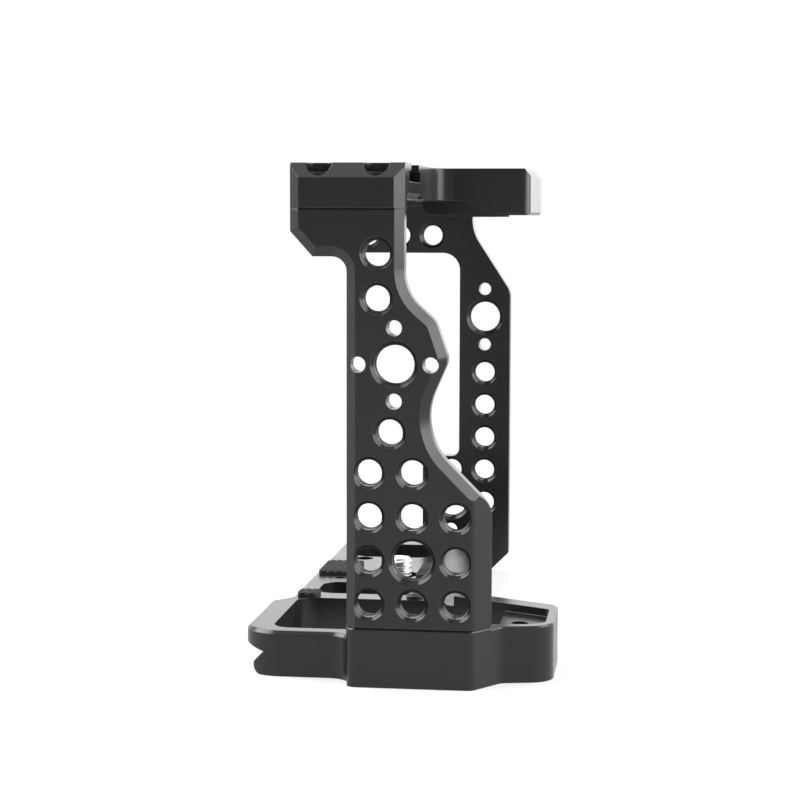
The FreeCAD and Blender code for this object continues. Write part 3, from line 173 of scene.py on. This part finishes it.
def tent_strength(tree, parts):
    """The tent's strength: it falls with the direction's height, and again towards the rear."""
    strength = math_node(tree, "MULTIPLY")
    for index, (way, ends) in enumerate((("Z", TENT_HIGH), ("Y", TENT_REAR))):
        fall = range_node(tree, ends, "SMOOTHSTEP")
        link(tree, parts.outputs[way], fall.inputs["Value"])
        link(tree, fall.outputs["Result"], strength.inputs[index])
    return strength.outputs[0]


def make_world():
    world = bpy.data.worlds.new("white_tent")
    bpy.context.scene.world = world
    world.use_nodes = True
    tree = world.node_tree
    tree.nodes.clear()
    output = tree.nodes.new("ShaderNodeOutputWorld")
    mix = tree.nodes.new("ShaderNodeMixShader")
    lit = tree.nodes.new("ShaderNodeBackground")
    seen = tree.nodes.new("ShaderNodeBackground")
    place = tree.nodes.new("ShaderNodeTexCoord")
    parts = tree.nodes.new("ShaderNodeSeparateXYZ")
    path = tree.nodes.new("ShaderNodeLightPath")
    either = math_node(tree, "MAXIMUM")
    seen.inputs["Color"].default_value = PLAIN_WHITE
    seen.inputs["Strength"].default_value = 1.0
    link(tree, place.outputs["Generated"], parts.inputs[0])
    link(tree, tent_colour(tree, parts), lit.inputs["Color"])
    link(tree, tent_strength(tree, parts), lit.inputs["Strength"])
    link(tree, path.outputs["Is Camera Ray"], either.inputs[0])
    link(tree, path.outputs["Is Transmission Ray"], either.inputs[1])
    link(tree, either.outputs[0], mix.inputs["Fac"])
    link(tree, lit.outputs[0], mix.inputs[1])
    link(tree, seen.outputs[0], mix.inputs[2])
    link(tree, mix.outputs[0], output.inputs["Surface"])
    print("world", world.name, len(tree.nodes), "nodes")


make_world()

# %% [markdown]
# Three soft square lamps add to the tent: a faint one over the cage, and one that stands high at the
# front and one at the rear. They give the chamfers and the rims of the holes their bright lines. A
# small lamp or a sun would light as much, but its highlights on a satin finish would be hard spots.

# %% Lamps
# Each lamp's place, the point that it faces, its width in metres and its power in watts.
LAMPS = {
    "lamp_over": ((0.05, 0.0, 0.75), (0, 0, 0.05), 0.55, 1.2),
    "lamp_front": ((-0.03, -0.65, 0.42), (0, 0, 0.06), 0.8, 8.8),
    "lamp_rear": ((-0.03, 0.58, 0.54), (0, 0, 0.06), 0.6, 8.4),
}


def make_lamp(name, place, target, size, power):
    data = bpy.data.lights.new(name, "AREA")
    data.shape = "SQUARE"
    data.size = size
    data.energy = power
    lamp = bpy.data.objects.new(name, data)
    lamp.location = place
    lamp.rotation_euler = (Vector(target) - Vector(place)).to_track_quat("-Z", "Y").to_euler()
    bpy.context.scene.collection.objects.link(lamp)
    print(name, size, "m wide", power, "W")


for lamp_name, lamp_facts in LAMPS.items():
    make_lamp(lamp_name, *lamp_facts)

# %% [markdown]
# The cage stands on a white table with no horizon. A sheet of paper that curves up behind the cage
# would give that in a studio, and could be modelled. Here one flat sheet glows, because the glow also
# takes the greyness out of the table. The camera sees a share of the glow that grows with the distance
# from the cage, so the cage keeps its shadow. Faces that mirror the table see the glow alone, a
# little under white.

# %% Table
TABLE_HALF_WIDTH = 6.0
TABLE_COLOUR = (0.93, 0.93, 0.93)
TABLE_ROUGHNESS = 0.6
TABLE_GLOW = {"From Min": 0.08, "From Max": 0.3, "To Min": 0.62, "To Max": 1.0}
MIRRORED_GLOW = 0.84


def glow_share(tree, path):
    """How much of the glow a ray sees: all for a gloss ray, and more with the distance for the camera."""
    place = tree.nodes.new("ShaderNodeTexCoord")
    distance = tree.nodes.new("ShaderNodeVectorMath")
    distance.operation = "LENGTH"
    share = range_node(tree, TABLE_GLOW, "SMOOTHSTEP")
    shown = math_node(tree, "MULTIPLY")
    seen = math_node(tree, "MAXIMUM")
    link(tree, place.outputs["Object"], distance.inputs[0])
    link(tree, distance.outputs["Value"], share.inputs["Value"])
    link(tree, path.outputs["Is Camera Ray"], shown.inputs[0])
    link(tree, share.outputs["Result"], shown.inputs[1])
    link(tree, shown.outputs[0], seen.inputs[0])
    link(tree, path.outputs["Is Glossy Ray"], seen.inputs[1])
    return seen.outputs[0]


def table_material():
    material, tree, shader = principled("white_table", TABLE_COLOUR, TABLE_ROUGHNESS)
    shader.inputs["Specular IOR Level"].default_value = 0.0
    output = tree.nodes["Material Output"]
    path = tree.nodes.new("ShaderNodeLightPath")
    glow = tree.nodes.new("ShaderNodeEmission")
    mix = tree.nodes.new("ShaderNodeMixShader")
    strength = range_node(tree, {"To Min": 1.0, "To Max": MIRRORED_GLOW})
    link(tree, path.outputs["Is Glossy Ray"], strength.inputs["Value"])
    link(tree, strength.outputs["Result"], glow.inputs["Strength"])
    link(tree, glow_share(tree, path), mix.inputs["Fac"])
    link(tree, shader.outputs[0], mix.inputs[1])
    link(tree, glow.outputs[0], mix.inputs[2])
    link(tree, mix.outputs[0], output.inputs["Surface"])
    return material


def make_floor():
    mesh = bpy.data.meshes.new("floor")
    size = TABLE_HALF_WIDTH
    corners = [(-size, -size, 0), (size, -size, 0), (size, size, 0), (-size, size, 0)]
    mesh.from_pydata(corners, [], [(0, 1, 2, 3)])
    mesh.materials.append(table_material())
    floor = bpy.data.objects.new("floor", mesh)
    bpy.context.scene.collection.objects.link(floor)
    print("table", 2 * size, "m wide")


make_floor()

# %% [markdown]
# Anodising wears a little lighter along edges, and the light lines that edges catch are painted there
# too, as a painted highlight in the same lighter colour. Bead blasting leaves a fine tooth. Painted
# images could hold both, but they would need a layout for every piece, and they blur close up. Worked
# out from the shape and from place, the effects fit any piece. Several finishes share them, so each is
# a node group of its own. The first finds edges: a bevel lookup bends the normal near an edge, and how
# far it bends is the mask for the lighter edge colour, rubbed edges and painted highlight together. The
# second is the fine tooth, and a slow cloud of tone.

# %% Shared shader groups
EDGE_SAMPLES = 6
TOOTH_DETAIL = 2.0
CLOUD_DETAIL = 3.0


def new_group(name, inputs, outputs):
    group = bpy.data.node_groups.new(name, "ShaderNodeTree")
    for label, kind, value in inputs:
        socket = group.interface.new_socket(name=label, in_out="INPUT", socket_type=kind)
        socket.default_value = value
    for label, kind in outputs:
        group.interface.new_socket(name=label, in_out="OUTPUT", socket_type=kind)
    return group, group.nodes.new("NodeGroupInput"), group.nodes.new("NodeGroupOutput")


def rubbed_and_painted_highlight_edge_group():
    """Mask: 0 on a flat face and 1 where the bevelled normal leans from it by the reach."""
    group, given, result = new_group(
        "rubbed_and_painted_highlight_edge",
        [("Radius", "NodeSocketFloat", 0.0003), ("Reach", "NodeSocketFloat", 0.12)],
        [("Mask", "NodeSocketFloat"), ("Normal", "NodeSocketVector")],
    )
    bevel = group.nodes.new("ShaderNodeBevel")
    bevel.samples = EDGE_SAMPLES
    geometry = group.nodes.new("ShaderNodeNewGeometry")
    likeness = group.nodes.new("ShaderNodeVectorMath")
    likeness.operation = "DOT_PRODUCT"
    # The mask lightens the colour along edges: partly rubbed anodising, partly a painted highlight of the
    # light that edges catch.
    edge_threshold = math_node(group, "SUBTRACT")
    edge_threshold.inputs[0].default_value = 1.0
    mask = range_node(group, {"From Min": 1.0, "To Min": 0.0, "To Max": 1.0})
    link(group, given.outputs["Radius"], bevel.inputs["Radius"])
    link(group, given.outputs["Reach"], edge_threshold.inputs[1])
    link(group, edge_threshold.outputs[0], mask.inputs["From Max"])
    link(group, bevel.outputs["Normal"], likeness.inputs[0])
    link(group, geometry.outputs["Normal"], likeness.inputs[1])
    link(group, likeness.outputs["Value"], mask.inputs["Value"])
    link(group, mask.outputs["Result"], result.inputs["Mask"])
    link(group, bevel.outputs["Normal"], result.inputs["Normal"])
    return group


def blasted_grain_group():
    """Tooth: fine noise for the bump. Tone: a slow cloud for the roughness."""
    group, given, result = new_group(
        "blasted_grain",
        [("Fine", "NodeSocketFloat", 5200.0), ("Cloud", "NodeSocketFloat", 45.0)],
        [("Tooth", "NodeSocketFloat"), ("Tone", "NodeSocketFloat")],
    )
    place = group.nodes.new("ShaderNodeTexCoord")
    tooth = group.nodes.new("ShaderNodeTexNoise")
    tooth.inputs["Detail"].default_value = TOOTH_DETAIL
    cloud = group.nodes.new("ShaderNodeTexNoise")
    cloud.inputs["Detail"].default_value = CLOUD_DETAIL
    link(group, place.outputs["Object"], tooth.inputs["Vector"])
    link(group, place.outputs["Object"], cloud.inputs["Vector"])
    link(group, given.outputs["Fine"], tooth.inputs["Scale"])
    link(group, given.outputs["Cloud"], cloud.inputs["Scale"])
    link(group, tooth.outputs["Fac"], result.inputs["Tooth"])
    link(group, cloud.outputs["Fac"], result.inputs["Tone"])
    return group


RUBBED_AND_PAINTED_HIGHLIGHT_EDGE = rubbed_and_painted_highlight_edge_group()
BLASTED_GRAIN = blasted_grain_group()


def place_group(tree, group, **values):
    node = tree.nodes.new("ShaderNodeGroup")
    node.node_tree = group
    for label, value in values.items():
        node.inputs[label].default_value = value
    return node


print("groups", RUBBED_AND_PAINTED_HIGHLIGHT_EDGE.name, BLASTED_GRAIN.name)

# %% [markdown]
# The cage is black anodised aluminium, its screws are blackened steel, the dowels and the clip are
# ground steel, the pads are rubber, and the camera screw is plated bright. Each could have a tree of
# its own, but they differ only in their values. So every finish is built the same way: a base colour
# that is lighter along the edges, for rubbed edges and as a painted highlight, a roughness that drifts
# with the cloud, and a bump from the grain.

# %% Finishes
CLOUD_LOW = 0.3
CLOUD_HIGH = 0.7


def finish_material(
    name, colour, rubbed_and_highlight_colour, roughness, drift, metallic, tooth_depth, tooth_scale, edge_radius
):
    """A finish with edges painted lighter, for rubbed edges and as a painted highlight, and blasted
    grain.
    """
    material, tree, shader = principled(name, colour, roughness, metallic)
    rubbed_and_highlight_edges = place_group(tree, RUBBED_AND_PAINTED_HIGHLIGHT_EDGE, Radius=edge_radius)
    grain = place_group(tree, BLASTED_GRAIN, Fine=tooth_scale)
    # The colour turns lighter along edges: rubbed anodising and a painted highlight together.
    tint = tree.nodes.new("ShaderNodeMix")
    tint.data_type = "RGBA"
    tint.inputs["A"].default_value = (*colour, 1)
    tint.inputs["B"].default_value = (*rubbed_and_highlight_colour, 1)
    cloud = {"From Min": CLOUD_LOW, "From Max": CLOUD_HIGH}
    gloss = range_node(tree, {**cloud, "To Min": roughness - drift, "To Max": roughness + drift})
    bump = tree.nodes.new("ShaderNodeBump")
    bump.inputs["Strength"].default_value = 1.0
    bump.inputs["Distance"].default_value = tooth_depth
    link(tree, rubbed_and_highlight_edges.outputs["Mask"], tint.inputs["Factor"])
    link(tree, tint.outputs["Result"], shader.inputs["Base Color"])
    link(tree, grain.outputs["Tone"], gloss.inputs["Value"])
    link(tree, gloss.outputs["Result"], shader.inputs["Roughness"])
    link(tree, grain.outputs["Tooth"], bump.inputs["Height"])
    link(tree, rubbed_and_highlight_edges.outputs["Normal"], bump.inputs["Normal"])
    link(tree, bump.outputs["Normal"], shader.inputs["Normal"])
    return material


# Each edge colour is lighter than its finish's colour: rubbed edges and a painted highlight together.
FINISHES = {
    "cage": finish_material(
        "black_anodised_aluminium",
        colour=(0.012, 0.012, 0.0135),
        rubbed_and_highlight_colour=(0.045, 0.045, 0.047),
        roughness=0.23,
        drift=0.03,
        metallic=0.0,
        tooth_depth=0.006 * MM,
        tooth_scale=4200,
        edge_radius=0.18 * MM,
    ),
    "fastener": finish_material(
        "black_oxide_steel",
        colour=(0.04, 0.04, 0.042),
        rubbed_and_highlight_colour=(0.12, 0.12, 0.12),
        roughness=0.36,
        drift=0.04,
        metallic=0.6,
        tooth_depth=0.003 * MM,
        tooth_scale=6000,
        edge_radius=0.15 * MM,
    ),
    "dowel": finish_material(
        "ground_steel",
        colour=(0.52, 0.52, 0.53),
        rubbed_and_highlight_colour=(0.7, 0.7, 0.7),
        roughness=0.3,
        drift=0.05,
        metallic=1.0,
        tooth_depth=0.002 * MM,
        tooth_scale=6000,
        edge_radius=0.1 * MM,
    ),
    "pad": finish_material(
        "black_rubber",
        colour=(0.018, 0.018, 0.018),
        rubbed_and_highlight_colour=(0.03, 0.03, 0.03),
        roughness=0.72,
        drift=0.06,
        metallic=0.0,
        tooth_depth=0.02 * MM,
        tooth_scale=2600,
        edge_radius=0.2 * MM,
    ),
    "camera_screw": finish_material(
        "bright_nickel",
        colour=(0.72, 0.72, 0.73),
        rubbed_and_highlight_colour=(0.8, 0.8, 0.8),
        roughness=0.27,
        drift=0.03,
        metallic=0.82,
        tooth_depth=0.001 * MM,
        tooth_scale=6000,
        edge_radius=0.1 * MM,
    ),
}
slot_of = {entry["node"]: entry["material_slot"] for entry in record["subparts"]}
for node_name, node in nodes.items():
    node.data.materials.clear()
    node.data.materials.append(FINISHES[slot_of[node_name]])
    print(node_name, FINISHES[slot_of[node_name]].name)

# %% [markdown]
# A tap cuts a thread in each screw hole of the plates and the roof, for accessories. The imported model
# has the plain bores, and its record lists each row or square of holes once, by its middle and its
# spacing. The places could be typed in again, but they would be wrong as soon as a hole moves, so they
# are worked out from the record.

# %% Where the tapped holes are


def pattern_places(mount):
    """Where a mount's holes are: its one place, or the places of its row or its four corners."""
    centre = Vector(mount["pos_m"])
    dims = mount["dims"]
    axis = [abs(round(part)) for part in mount["axis"]]
    across = [index for index in range(3) if not axis[index]]
    steps = []
    for key, index in zip(("spacing_x_mm", "spacing_y_mm"), across):
        half = Vector((0, 0, 0))
        half[index] = dims.get(key, 0) / 2 * MM
        steps.append([half, -half] if half.length else [half])
    return [centre + first + second for first in steps[0] for second in steps[1]]


def tapped_places(radius_mm):
    """Each tapped hole of one bore: its place and its axis."""
    places = []
    for mount in mounts.values():
        dims = mount["dims"]
        bore = dims.get("r_mm", dims.get("hole_r_mm"))
        tapped = mount["kind"] in ("threaded_hole", "bolt_pattern") and "pcd_mm" not in dims
        if tapped and bore == radius_mm:
            places += [(place, Vector(mount["axis"])) for place in pattern_places(mount)]
    return places


def along_the_cage(hole):
    """Whether a hole goes through a side plate, and not down through the roof."""
    axis = hole[1]
    return abs(axis.x) > abs(axis.z)


QUARTER_BORE_MM = mounts["grip_lone_hole"]["dims"]["r_mm"]
LARGE_BORE_MM = mounts["grip_pinned_hole"]["dims"]["r_mm"]
quarter_holes = tapped_places(QUARTER_BORE_MM)
side_quarter_holes = [hole for hole in quarter_holes if along_the_cage(hole)]
roof_quarter_holes = [hole for hole in quarter_holes if not along_the_cage(hole)]
large_holes = tapped_places(LARGE_BORE_MM)
print("quarter-inch", len(side_quarter_holes), "in the sides", len(roof_quarter_holes), "in the roof")
print("three-eighths-inch", len(large_holes))

# %% [markdown]
# A Screw modifier could wind one thread at a time. Geometry Nodes make them all, because they are one
# shape that repeats: a small diamond is swept along a spiral, set in every hole and turned to the
# hole's axis. Each hole is a point, and the point carries its axis as an attribute.

# %% A tree that threads holes
SPIRAL_STEPS = 40
RIDGE_CORNERS = 4
THREAD_INPUTS = {"Bore": 0.0026, "Pitch": 0.00127, "Length": 0.0034, "Depth": 0.0003}


def centred_spiral(tree, given):
    """A spiral as wide as the bore, with its middle at the origin."""
    turns = math_node(tree, "DIVIDE")
    spiral = tree.nodes.new("GeometryNodeCurveSpiral")
    spiral.inputs["Resolution"].default_value = SPIRAL_STEPS
    half_down = math_node(tree, "MULTIPLY")
    half_down.inputs[1].default_value = -0.5
    step = tree.nodes.new("ShaderNodeCombineXYZ")
    centred = tree.nodes.new("GeometryNodeTransform")
    link(tree, given.outputs["Length"], turns.inputs[0])
    link(tree, given.outputs["Pitch"], turns.inputs[1])
    link(tree, turns.outputs[0], spiral.inputs["Rotations"])
    link(tree, given.outputs["Bore"], spiral.inputs["Start Radius"])
    link(tree, given.outputs["Bore"], spiral.inputs["End Radius"])
    link(tree, given.outputs["Length"], spiral.inputs["Height"])
    link(tree, given.outputs["Length"], half_down.inputs[0])
    link(tree, half_down.outputs[0], step.inputs["Z"])
    link(tree, spiral.outputs["Curve"], centred.inputs["Geometry"])
    link(tree, step.outputs[0], centred.inputs["Translation"])
    return centred.outputs[0]


def swept_ridge(tree, given, curve):
    """A diamond swept along the curve, closed at its ends."""
    diamond = tree.nodes.new("GeometryNodeCurvePrimitiveCircle")
    diamond.inputs["Resolution"].default_value = RIDGE_CORNERS
    sweep = tree.nodes.new("GeometryNodeCurveToMesh")
    sweep.inputs["Fill Caps"].default_value = True
    link(tree, given.outputs["Depth"], diamond.inputs["Radius"])
    link(tree, curve, sweep.inputs["Curve"])
    link(tree, diamond.outputs["Curve"], sweep.inputs["Profile Curve"])
    return sweep.outputs["Mesh"]


def set_in_holes(tree, given, ridge):
    """The ridge in each hole, along the axis that the hole's point carries."""
    axis = tree.nodes.new("GeometryNodeInputNamedAttribute")
    axis.data_type = "FLOAT_VECTOR"
    axis.inputs["Name"].default_value = "axis"
    turn = tree.nodes.new("FunctionNodeAlignRotationToVector")
    turn.axis = "Z"
    spread = tree.nodes.new("GeometryNodeInstanceOnPoints")
    real = tree.nodes.new("GeometryNodeRealizeInstances")
    link(tree, axis.outputs["Attribute"], turn.inputs["Vector"])
    link(tree, given.outputs["Holes"], spread.inputs["Points"])
    link(tree, ridge, spread.inputs["Instance"])
    link(tree, turn.outputs["Rotation"], spread.inputs["Rotation"])
    link(tree, spread.outputs["Instances"], real.inputs["Geometry"])
    return real.outputs["Geometry"]


def thread_tree():
    tree = bpy.data.node_groups.new("hole_thread", "GeometryNodeTree")
    face = tree.interface
    face.new_socket(name="Holes", in_out="INPUT", socket_type="NodeSocketGeometry")
    for label, value in THREAD_INPUTS.items():
        socket = face.new_socket(name=label, in_out="INPUT", socket_type="NodeSocketFloat")
        socket.default_value = value
    face.new_socket(name="Finish", in_out="INPUT", socket_type="NodeSocketMaterial")
    face.new_socket(name="Threads", in_out="OUTPUT", socket_type="NodeSocketGeometry")
    given = tree.nodes.new("NodeGroupInput")
    result = tree.nodes.new("NodeGroupOutput")
    ridge = swept_ridge(tree, given, centred_spiral(tree, given))
    coat = tree.nodes.new("GeometryNodeSetMaterial")
    link(tree, set_in_holes(tree, given, ridge), coat.inputs["Geometry"])
    link(tree, given.outputs["Finish"], coat.inputs["Material"])
    link(tree, coat.outputs["Geometry"], result.inputs["Threads"])
    return tree


THREAD_TREE = thread_tree()
print("tree", THREAD_TREE.name, len(THREAD_TREE.nodes), "nodes")

# %% [markdown]
# The smaller holes take a screw with 20 threads to the inch, and the larger ones take one with 16. The
# ridges are sunk a little into the wall, so that each hole stays as open as it looks on the real cage.
# What the tree makes could stay live in its modifier, but it is kept as a plain mesh, because that is
# still there when the part is handed on.

# %% Threads in the tapped holes
QUARTER_PITCH = 25.4 / 20 * MM
LARGE_PITCH = 25.4 / 16 * MM
RIDGE_SINK_MM = 0.14
QUARTER_SIZES = {
    "Bore": (QUARTER_BORE_MM + RIDGE_SINK_MM) * MM,
    "Pitch": QUARTER_PITCH,
    "Length": 2.9 * MM,
    "Depth": 0.28 * MM,
}
LARGE_SIZES = {
    "Bore": (LARGE_BORE_MM + RIDGE_SINK_MM) * MM,
    "Pitch": LARGE_PITCH,
    "Length": 2.6 * MM,
    "Depth": 0.36 * MM,
}


def nodes_to_mesh(name, source, tree, values):
    """Run a Geometry Nodes tree on a mesh, and keep what it makes as a plain object."""
    carrier = bpy.data.objects.new(name + "_carrier", source)
    bpy.context.scene.collection.objects.link(carrier)
    modifier = carrier.modifiers.new(name, "NODES")
    modifier.node_group = tree
    for item in tree.interface.items_tree:
        if item.item_type == "SOCKET" and item.in_out == "INPUT" and item.name in values:
            modifier[item.identifier] = values[item.name]
    evaluated = carrier.evaluated_get(bpy.context.evaluated_depsgraph_get())
    mesh = bpy.data.meshes.new_from_object(evaluated)
    mesh.name = name
    bpy.data.objects.remove(carrier)
    piece = bpy.data.objects.new(name, mesh)
    bpy.context.scene.collection.objects.link(piece)
    return piece


def thread_holes(name, holes, sizes):
    """Put a thread in each of these holes."""
    source = bpy.data.meshes.new(name + "_holes")
    source.from_pydata([place for place, _ in holes], [], [])
    attribute = source.attributes.new("axis", "FLOAT_VECTOR", "POINT")
    for index, (_, axis) in enumerate(holes):
        attribute.data[index].vector = axis
    piece = nodes_to_mesh(name, source, THREAD_TREE, {**sizes, "Finish": FINISHES["cage"]})
    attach(piece, "frame")
    print(name, len(holes), "holes", len(piece.data.polygons), "faces")


thread_holes("side_hole_threads", side_quarter_holes, QUARTER_SIZES)
thread_holes("roof_hole_threads", roof_quarter_holes, QUARTER_SIZES)
thread_holes("large_hole_threads", large_holes, LARGE_SIZES)

# %% [markdown]
# The camera screw is turned steel, plated bright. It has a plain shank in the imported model, but the
# real one's thread shows through the plate's large hole, so a threaded screw stands for it here. It
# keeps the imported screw's box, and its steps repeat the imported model's heights above the table.

# %% Camera screw's sizes
SCREW_LOW, SCREW_HIGH = (Vector(corner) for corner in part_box("camera_screw"))
SCREW_AXIS = (SCREW_LOW + SCREW_HIGH) / 2
HEAD_RADIUS = (SCREW_HIGH.x - SCREW_LOW.x) / 2
HEAD_LENGTH = 2.3 * MM
HEAD_EDGE = 0.3 * MM
HEAD_EDGE_SHARE = 0.95
KNURL_RIDGES = 48
KNURL_DEPTH = 0.18 * MM
HALF_DISC_INSET = 0.2 * MM
SLOT_DEPTH = 1.1 * MM
SLOT_WIDTH = 1.3 * MM
SHANK_SINK = 0.1 * MM
WEB_TOP = 7.2 * MM
CLIP_NECK_RADIUS = 2.4 * MM
CLIP_NECK_TOP = WEB_TOP + 0.7 * MM
RELIEF_RADIUS = 2.62 * MM
DECK_TOP = 9.5 * MM
THREAD_RADIUS = mounts["camera_screw_thread"]["dims"]["r_mm"] * MM
THREAD_DEPTH = 0.55 * MM
THREAD_FLAT_SHARE = 0.12
THREAD_FLANK_SHARE = 0.68
POINT_DEPTH = 0.75 * MM
THREAD_STEPS = 64
SHANK_SIDES = 72
HEAD_SIDES = 288
HALF_DISC_STEPS = 48
SHARP_FROM = math.radians(30)
print("screw head", 2 * HEAD_RADIUS / MM, "mm wide, thread", 2 * THREAD_RADIUS / MM, "mm")

# %% [markdown]
# The thread could be a swept ridge, as in the holes, but here its foot shows and would leave a seam.
# So the shank is one skin of rings, whose radius rises and falls with the height and the angle
# together. The head has a fine knurl for the fingers and a slot for a coin. The slot could be cut with
# a Boolean modifier, but a knurled disc over two half discs is simpler and has cleaner faces.

# %% Camera screw's shapes


def ring_shell(mesh, rings_by_height, sides):
    """Add a closed shell of rings: each ring has a height and a radius for every angle."""
    rings = []
    for height, radius in rings_by_height:
        ring = []
        for index in range(sides):
            angle = 2 * math.pi * index / sides
            out = radius(angle)
            x = SCREW_AXIS.x + out * math.cos(angle)
            y = SCREW_AXIS.y + out * math.sin(angle)
            ring.append(mesh.verts.new((x, y, height)))
        rings.append(ring)
    for low, high in zip(rings, rings[1:]):
        for index in range(sides):
            following = (index + 1) % sides
            mesh.faces.new((low[index], low[following], high[following], high[index]))
    mesh.faces.new(list(reversed(rings[0])))
    mesh.faces.new(rings[-1])


def thread_radius(height, top):
    """The thread's radius at a height: a rounded vee, cut down to a cone at the screw's end."""
    root = THREAD_RADIUS - THREAD_DEPTH
    end = THREAD_RADIUS - POINT_DEPTH + (top - height)

    def at(angle):
        turn = (height / QUARTER_PITCH - angle / (2 * math.pi)) % 1
        wave = 1 - abs(2 * turn - 1)
        crest = min(1, max(0, (wave - THREAD_FLAT_SHARE) / THREAD_FLANK_SHARE))
        return min(root + (THREAD_RADIUS - root) * crest, end)

    return at


def knurl_radius(share):
    """The head's radius, less where the knurl is cut, all to this share."""

    def at(angle):
        cut = KNURL_DEPTH * (0.5 + 0.5 * math.cos(angle * KNURL_RIDGES))
        return (HEAD_RADIUS - cut) * share

    return at


def plain_radius(radius):
    return lambda angle: radius


def add_shank(mesh, foot):
    """The shank from the head: plain in the base, thin in the clip, then threaded above the deck."""
    steps = [(foot, THREAD_RADIUS), (WEB_TOP, THREAD_RADIUS), (WEB_TOP, CLIP_NECK_RADIUS)]
    steps += [(CLIP_NECK_TOP, CLIP_NECK_RADIUS), (CLIP_NECK_TOP, RELIEF_RADIUS)]
    steps += [(DECK_TOP, RELIEF_RADIUS)]
    rings = [(height, plain_radius(radius)) for height, radius in steps]
    for step in range(THREAD_STEPS + 1):
        height = DECK_TOP + (SCREW_HIGH.z - DECK_TOP) * step / THREAD_STEPS
        rings.append((height, thread_radius(height, SCREW_HIGH.z)))
    ring_shell(mesh, rings, SHANK_SIDES)


def add_half_disc(mesh, side, low, high):
    """The head's part on one side of the slot."""
    edge = HEAD_RADIUS - HALF_DISC_INSET
    start = math.asin(SLOT_WIDTH / 2 / edge)
    sweep = math.pi - 2 * start
    angles = [start + sweep * index / HALF_DISC_STEPS for index in range(HALF_DISC_STEPS + 1)]
    outline = [(side * edge * math.sin(angle), edge * math.cos(angle)) for angle in angles]
    bottoms, tops = (
        [mesh.verts.new((SCREW_AXIS.x + x, SCREW_AXIS.y + y, height)) for x, y in outline]
        for height in (low, high)
    )
    for index in range(len(outline)):
        following = (index + 1) % len(outline)
        mesh.faces.new((bottoms[index], bottoms[following], tops[following], tops[index]))
    mesh.faces.new(list(reversed(bottoms)))
    mesh.faces.new(tops)


print("thread's root", (THREAD_RADIUS - THREAD_DEPTH) / MM, "mm")

# %% [markdown]
# All the shells go into one mesh. Its faces are shaded smooth up to an angle, so the thread looks
# turned while the steps of the shank and the edges of the head stay crisp.

# %% Camera screw


def make_camera_screw():
    mesh = bmesh.new()
    head_top = SCREW_LOW.z + HEAD_LENGTH
    slot_top = SCREW_LOW.z + SLOT_DEPTH
    add_shank(mesh, head_top - SHANK_SINK)
    disc = [(slot_top, knurl_radius(1)), (head_top - HEAD_EDGE, knurl_radius(1))]
    disc += [(head_top, knurl_radius(HEAD_EDGE_SHARE))]
    ring_shell(mesh, disc, HEAD_SIDES)
    for side in (1, -1):
        add_half_disc(mesh, side, SCREW_LOW.z, slot_top)
    bmesh.ops.recalc_face_normals(mesh, faces=mesh.faces)
    data = bpy.data.meshes.new("threaded_camera_screw")
    mesh.to_mesh(data)
    mesh.free()
    for polygon in data.polygons:
        polygon.use_smooth = True
    data.set_sharp_from_angle(angle=SHARP_FROM)
    data.materials.append(FINISHES["camera_screw"])
    piece = bpy.data.objects.new("threaded_camera_screw", data)
    bpy.context.scene.collection.objects.link(piece)
    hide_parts("camera_screw")
    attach(piece, "screw")
    print("camera screw", len(data.polygons), "faces")


make_camera_screw()
